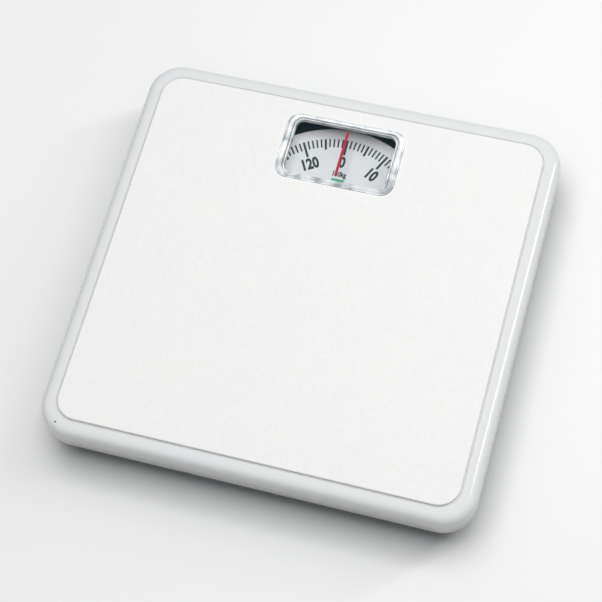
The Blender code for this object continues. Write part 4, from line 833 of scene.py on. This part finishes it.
def makeRackSpring():
    # Light spring from its post to the rack; its straight end rides in the rack
    s = coilSettings["rack"]
    points = coilPoints(s["radius"], s["rear"] - s["front"], s["turns"], s["tail"], False)
    place = Matrix.Translation((s["x"], s["front"], s["height"])) @ upToRear
    coil = makeWire("rackCoil", points, s["wire"], place)
    settle(coil, "base", ["rack_spring"])
    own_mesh(coil)
    start = s["rear"] + s["radius"] - s["wire"] * s["lapShare"]
    length = s["hold"] - start
    points = [Vector((0, 0, share * length)) for share in (0, 1 / 2, 1)]
    place = Matrix.Translation((s["x"], start, s["height"])) @ upToRear
    tip = makeWire("rackCoilEnd", points, s["wire"], place)
    settle(tip, "rack_bar")


def makeTieSprings():
    # Springs that hold the platform down on the knives
    s = coilSettings["tie"]
    points = coilPoints(s["radius"], s["high"] - s["low"], s["turns"], s["tail"])
    for side, hand in (("left", -1), ("right", 1)):
        place = Matrix.Translation((hand * s["x"], 0, s["low"]))
        coil = makeWire("tieCoil_" + side, points, s["wire"], place)
        settle(coil, "base", ["tie_spring_" + side])
        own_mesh(coil)


makeMainSpring()
makeRackSpring()
makeTieSprings()
print("springs done")


# The works, base and feet keep the CAD's shapes, with their edges rounded over

softSettings = {
    "hard": 28, "flat": 0.6, "steps": 2, "sharp": 40, "mostSides": 4,
    "edge": 0.00016, "fine": 0.00009, "panEdge": 0.00030, "rubberEdge": 0.00045,
    "fineNodes": ("rack", "pinion_shaft", "fulcrum_knife", "load_knife", "dial_nut", "lever_saddle"),
    "redrawn": ("platform_cover", "platform_mat", "window_bezel", "window_lens", "pointer", "dial_disc",
                "main_spring", "rack_spring", "tie_spring"),
}


def edgeFor(name):
    s = softSettings
    if name == "base_pan":
        return s["panEdge"]
    if name.startswith("foot_"):
        return s["rubberEdge"]
    return s["fine"] if name.startswith(s["fineNodes"]) else s["edge"]


def softenNode(name, node):
    # A copy of a pressed, turned or moulded part with its hard edges rounded over
    s = softSettings
    bm = bmesh.new()
    bm.from_mesh(node.data)
    weld(bm)
    bmesh.ops.dissolve_limit(bm, angle_limit=math.radians(s["flat"]), verts=bm.verts[:], edges=bm.edges[:])
    hardAngle = math.radians(s["hard"])
    hard = [edge for edge in bm.edges if edge.is_manifold and edge.calc_face_angle(0) > hardAngle]
    bmesh.ops.bevel(bm, geom=hard, affect="EDGES", offset=edgeFor(name), offset_type="OFFSET",
                    segments=s["steps"], profile=0.5, material=-1, clamp_overlap=True)
    bmesh.ops.triangulate(bm, faces=[face for face in bm.faces if len(face.verts) > s["mostSides"]])
    piece = meshObject(name + "_soft", bm, s["sharp"])
    paint(piece, finishFor(name))
    settle(piece, node["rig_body"], [name])


for nodeName, node in list(frame["nodes"].items()):
    for index in range(len(node.data.materials)):
        node.data.materials[index] = finishFor(nodeName)
    if not nodeName.startswith(softSettings["redrawn"]):
        softenNode(nodeName, node)
print("nodes finished")


# Floor, lights and camera. The softbox overhead isn't mirrored, so that the flat border stays even, and
# the strip on the right draws the thin highlight along the shoulder

studioSettings = {
    "floorHalf": 12.0, "floorZ": -0.0002, "worldStrength": 0.60,
    "sky": ((0.0, (0.06, 0.06, 0.065)), (0.5, (0.20, 0.205, 0.21)), (1.0, (0.70, 0.71, 0.72))),
    "lights": (
        {"name": "overheadSoftbox", "place": (0.0, 0.10, 1.90), "aim": (0, 0, 0), "size": (1.2, 1.2),
         "power": 25.9, "mirrored": False},
        {"name": "rightStrip", "place": (0.88, 0.62, 0.98), "aim": (0.13, 0, 0.04), "size": (0.14, 1.3),
         "power": 6.4, "mirrored": True},
    ),
    "lens": 108.49, "sensor": 36, "clipStart": 0.01, "eye": (0.21676, -0.40032, 1.05580),
    "tilt": (22.964, 5.836, 15.518),
}


def makeFloor():
    s = studioSettings
    bm = bmesh.new()
    bmesh.ops.create_grid(bm, x_segments=1, y_segments=1, size=s["floorHalf"])
    bmesh.ops.translate(bm, vec=(0, 0, s["floorZ"]), verts=bm.verts[:])
    floor = meshObject("floor", bm)
    paint(floor, coats["floorPaper"])


def makeSky():
    # A grey sky, lighter overhead
    s = studioSettings
    world = bpy.data.worlds.new("studio")
    world.use_nodes = True
    tree = world.node_tree
    back = tree.nodes["Background"]
    coords = tree.nodes.new("ShaderNodeTexCoord")
    split = tree.nodes.new("ShaderNodeSeparateXYZ")
    tree.links.new(coords.outputs["Generated"], split.inputs["Vector"])
    tree.links.new(rampOn(tree, split.outputs["Z"], s["sky"]), back.inputs["Color"])
    back.inputs["Strength"].default_value = s["worldStrength"]
    bpy.context.scene.world = world


def makeLight(name, place, aim, size, power, mirrored):
    lamp = bpy.data.lights.new(name, "AREA")
    lamp.shape = "RECTANGLE"
    lamp.size, lamp.size_y = size
    lamp.energy = power
    holder = bpy.data.objects.new(name, lamp)
    holder.location = place
    holder.rotation_euler = (Vector(aim) - Vector(place)).to_track_quat("-Z", "Y").to_euler()
    holder.visible_glossy = mirrored
    bpy.context.scene.collection.objects.link(holder)


def makeCamera():
    # The photo's view, fitted to the object's outline
    s = studioSettings
    camera = bpy.data.cameras.new("photoCamera")
    camera.lens = s["lens"]
    camera.sensor_width = s["sensor"]
    camera.clip_start = s["clipStart"]
    holder = bpy.data.objects.new("photoCamera", camera)
    holder.location = s["eye"]
    holder.rotation_euler = tuple(math.radians(value) for value in s["tilt"])
    bpy.context.scene.collection.objects.link(holder)
    bpy.context.scene.camera = holder
    bpy.context.scene.view_settings.view_transform = "Standard"


makeFloor()
makeSky()
for light in studioSettings["lights"]:
    makeLight(**light)
makeCamera()
print("studio done")
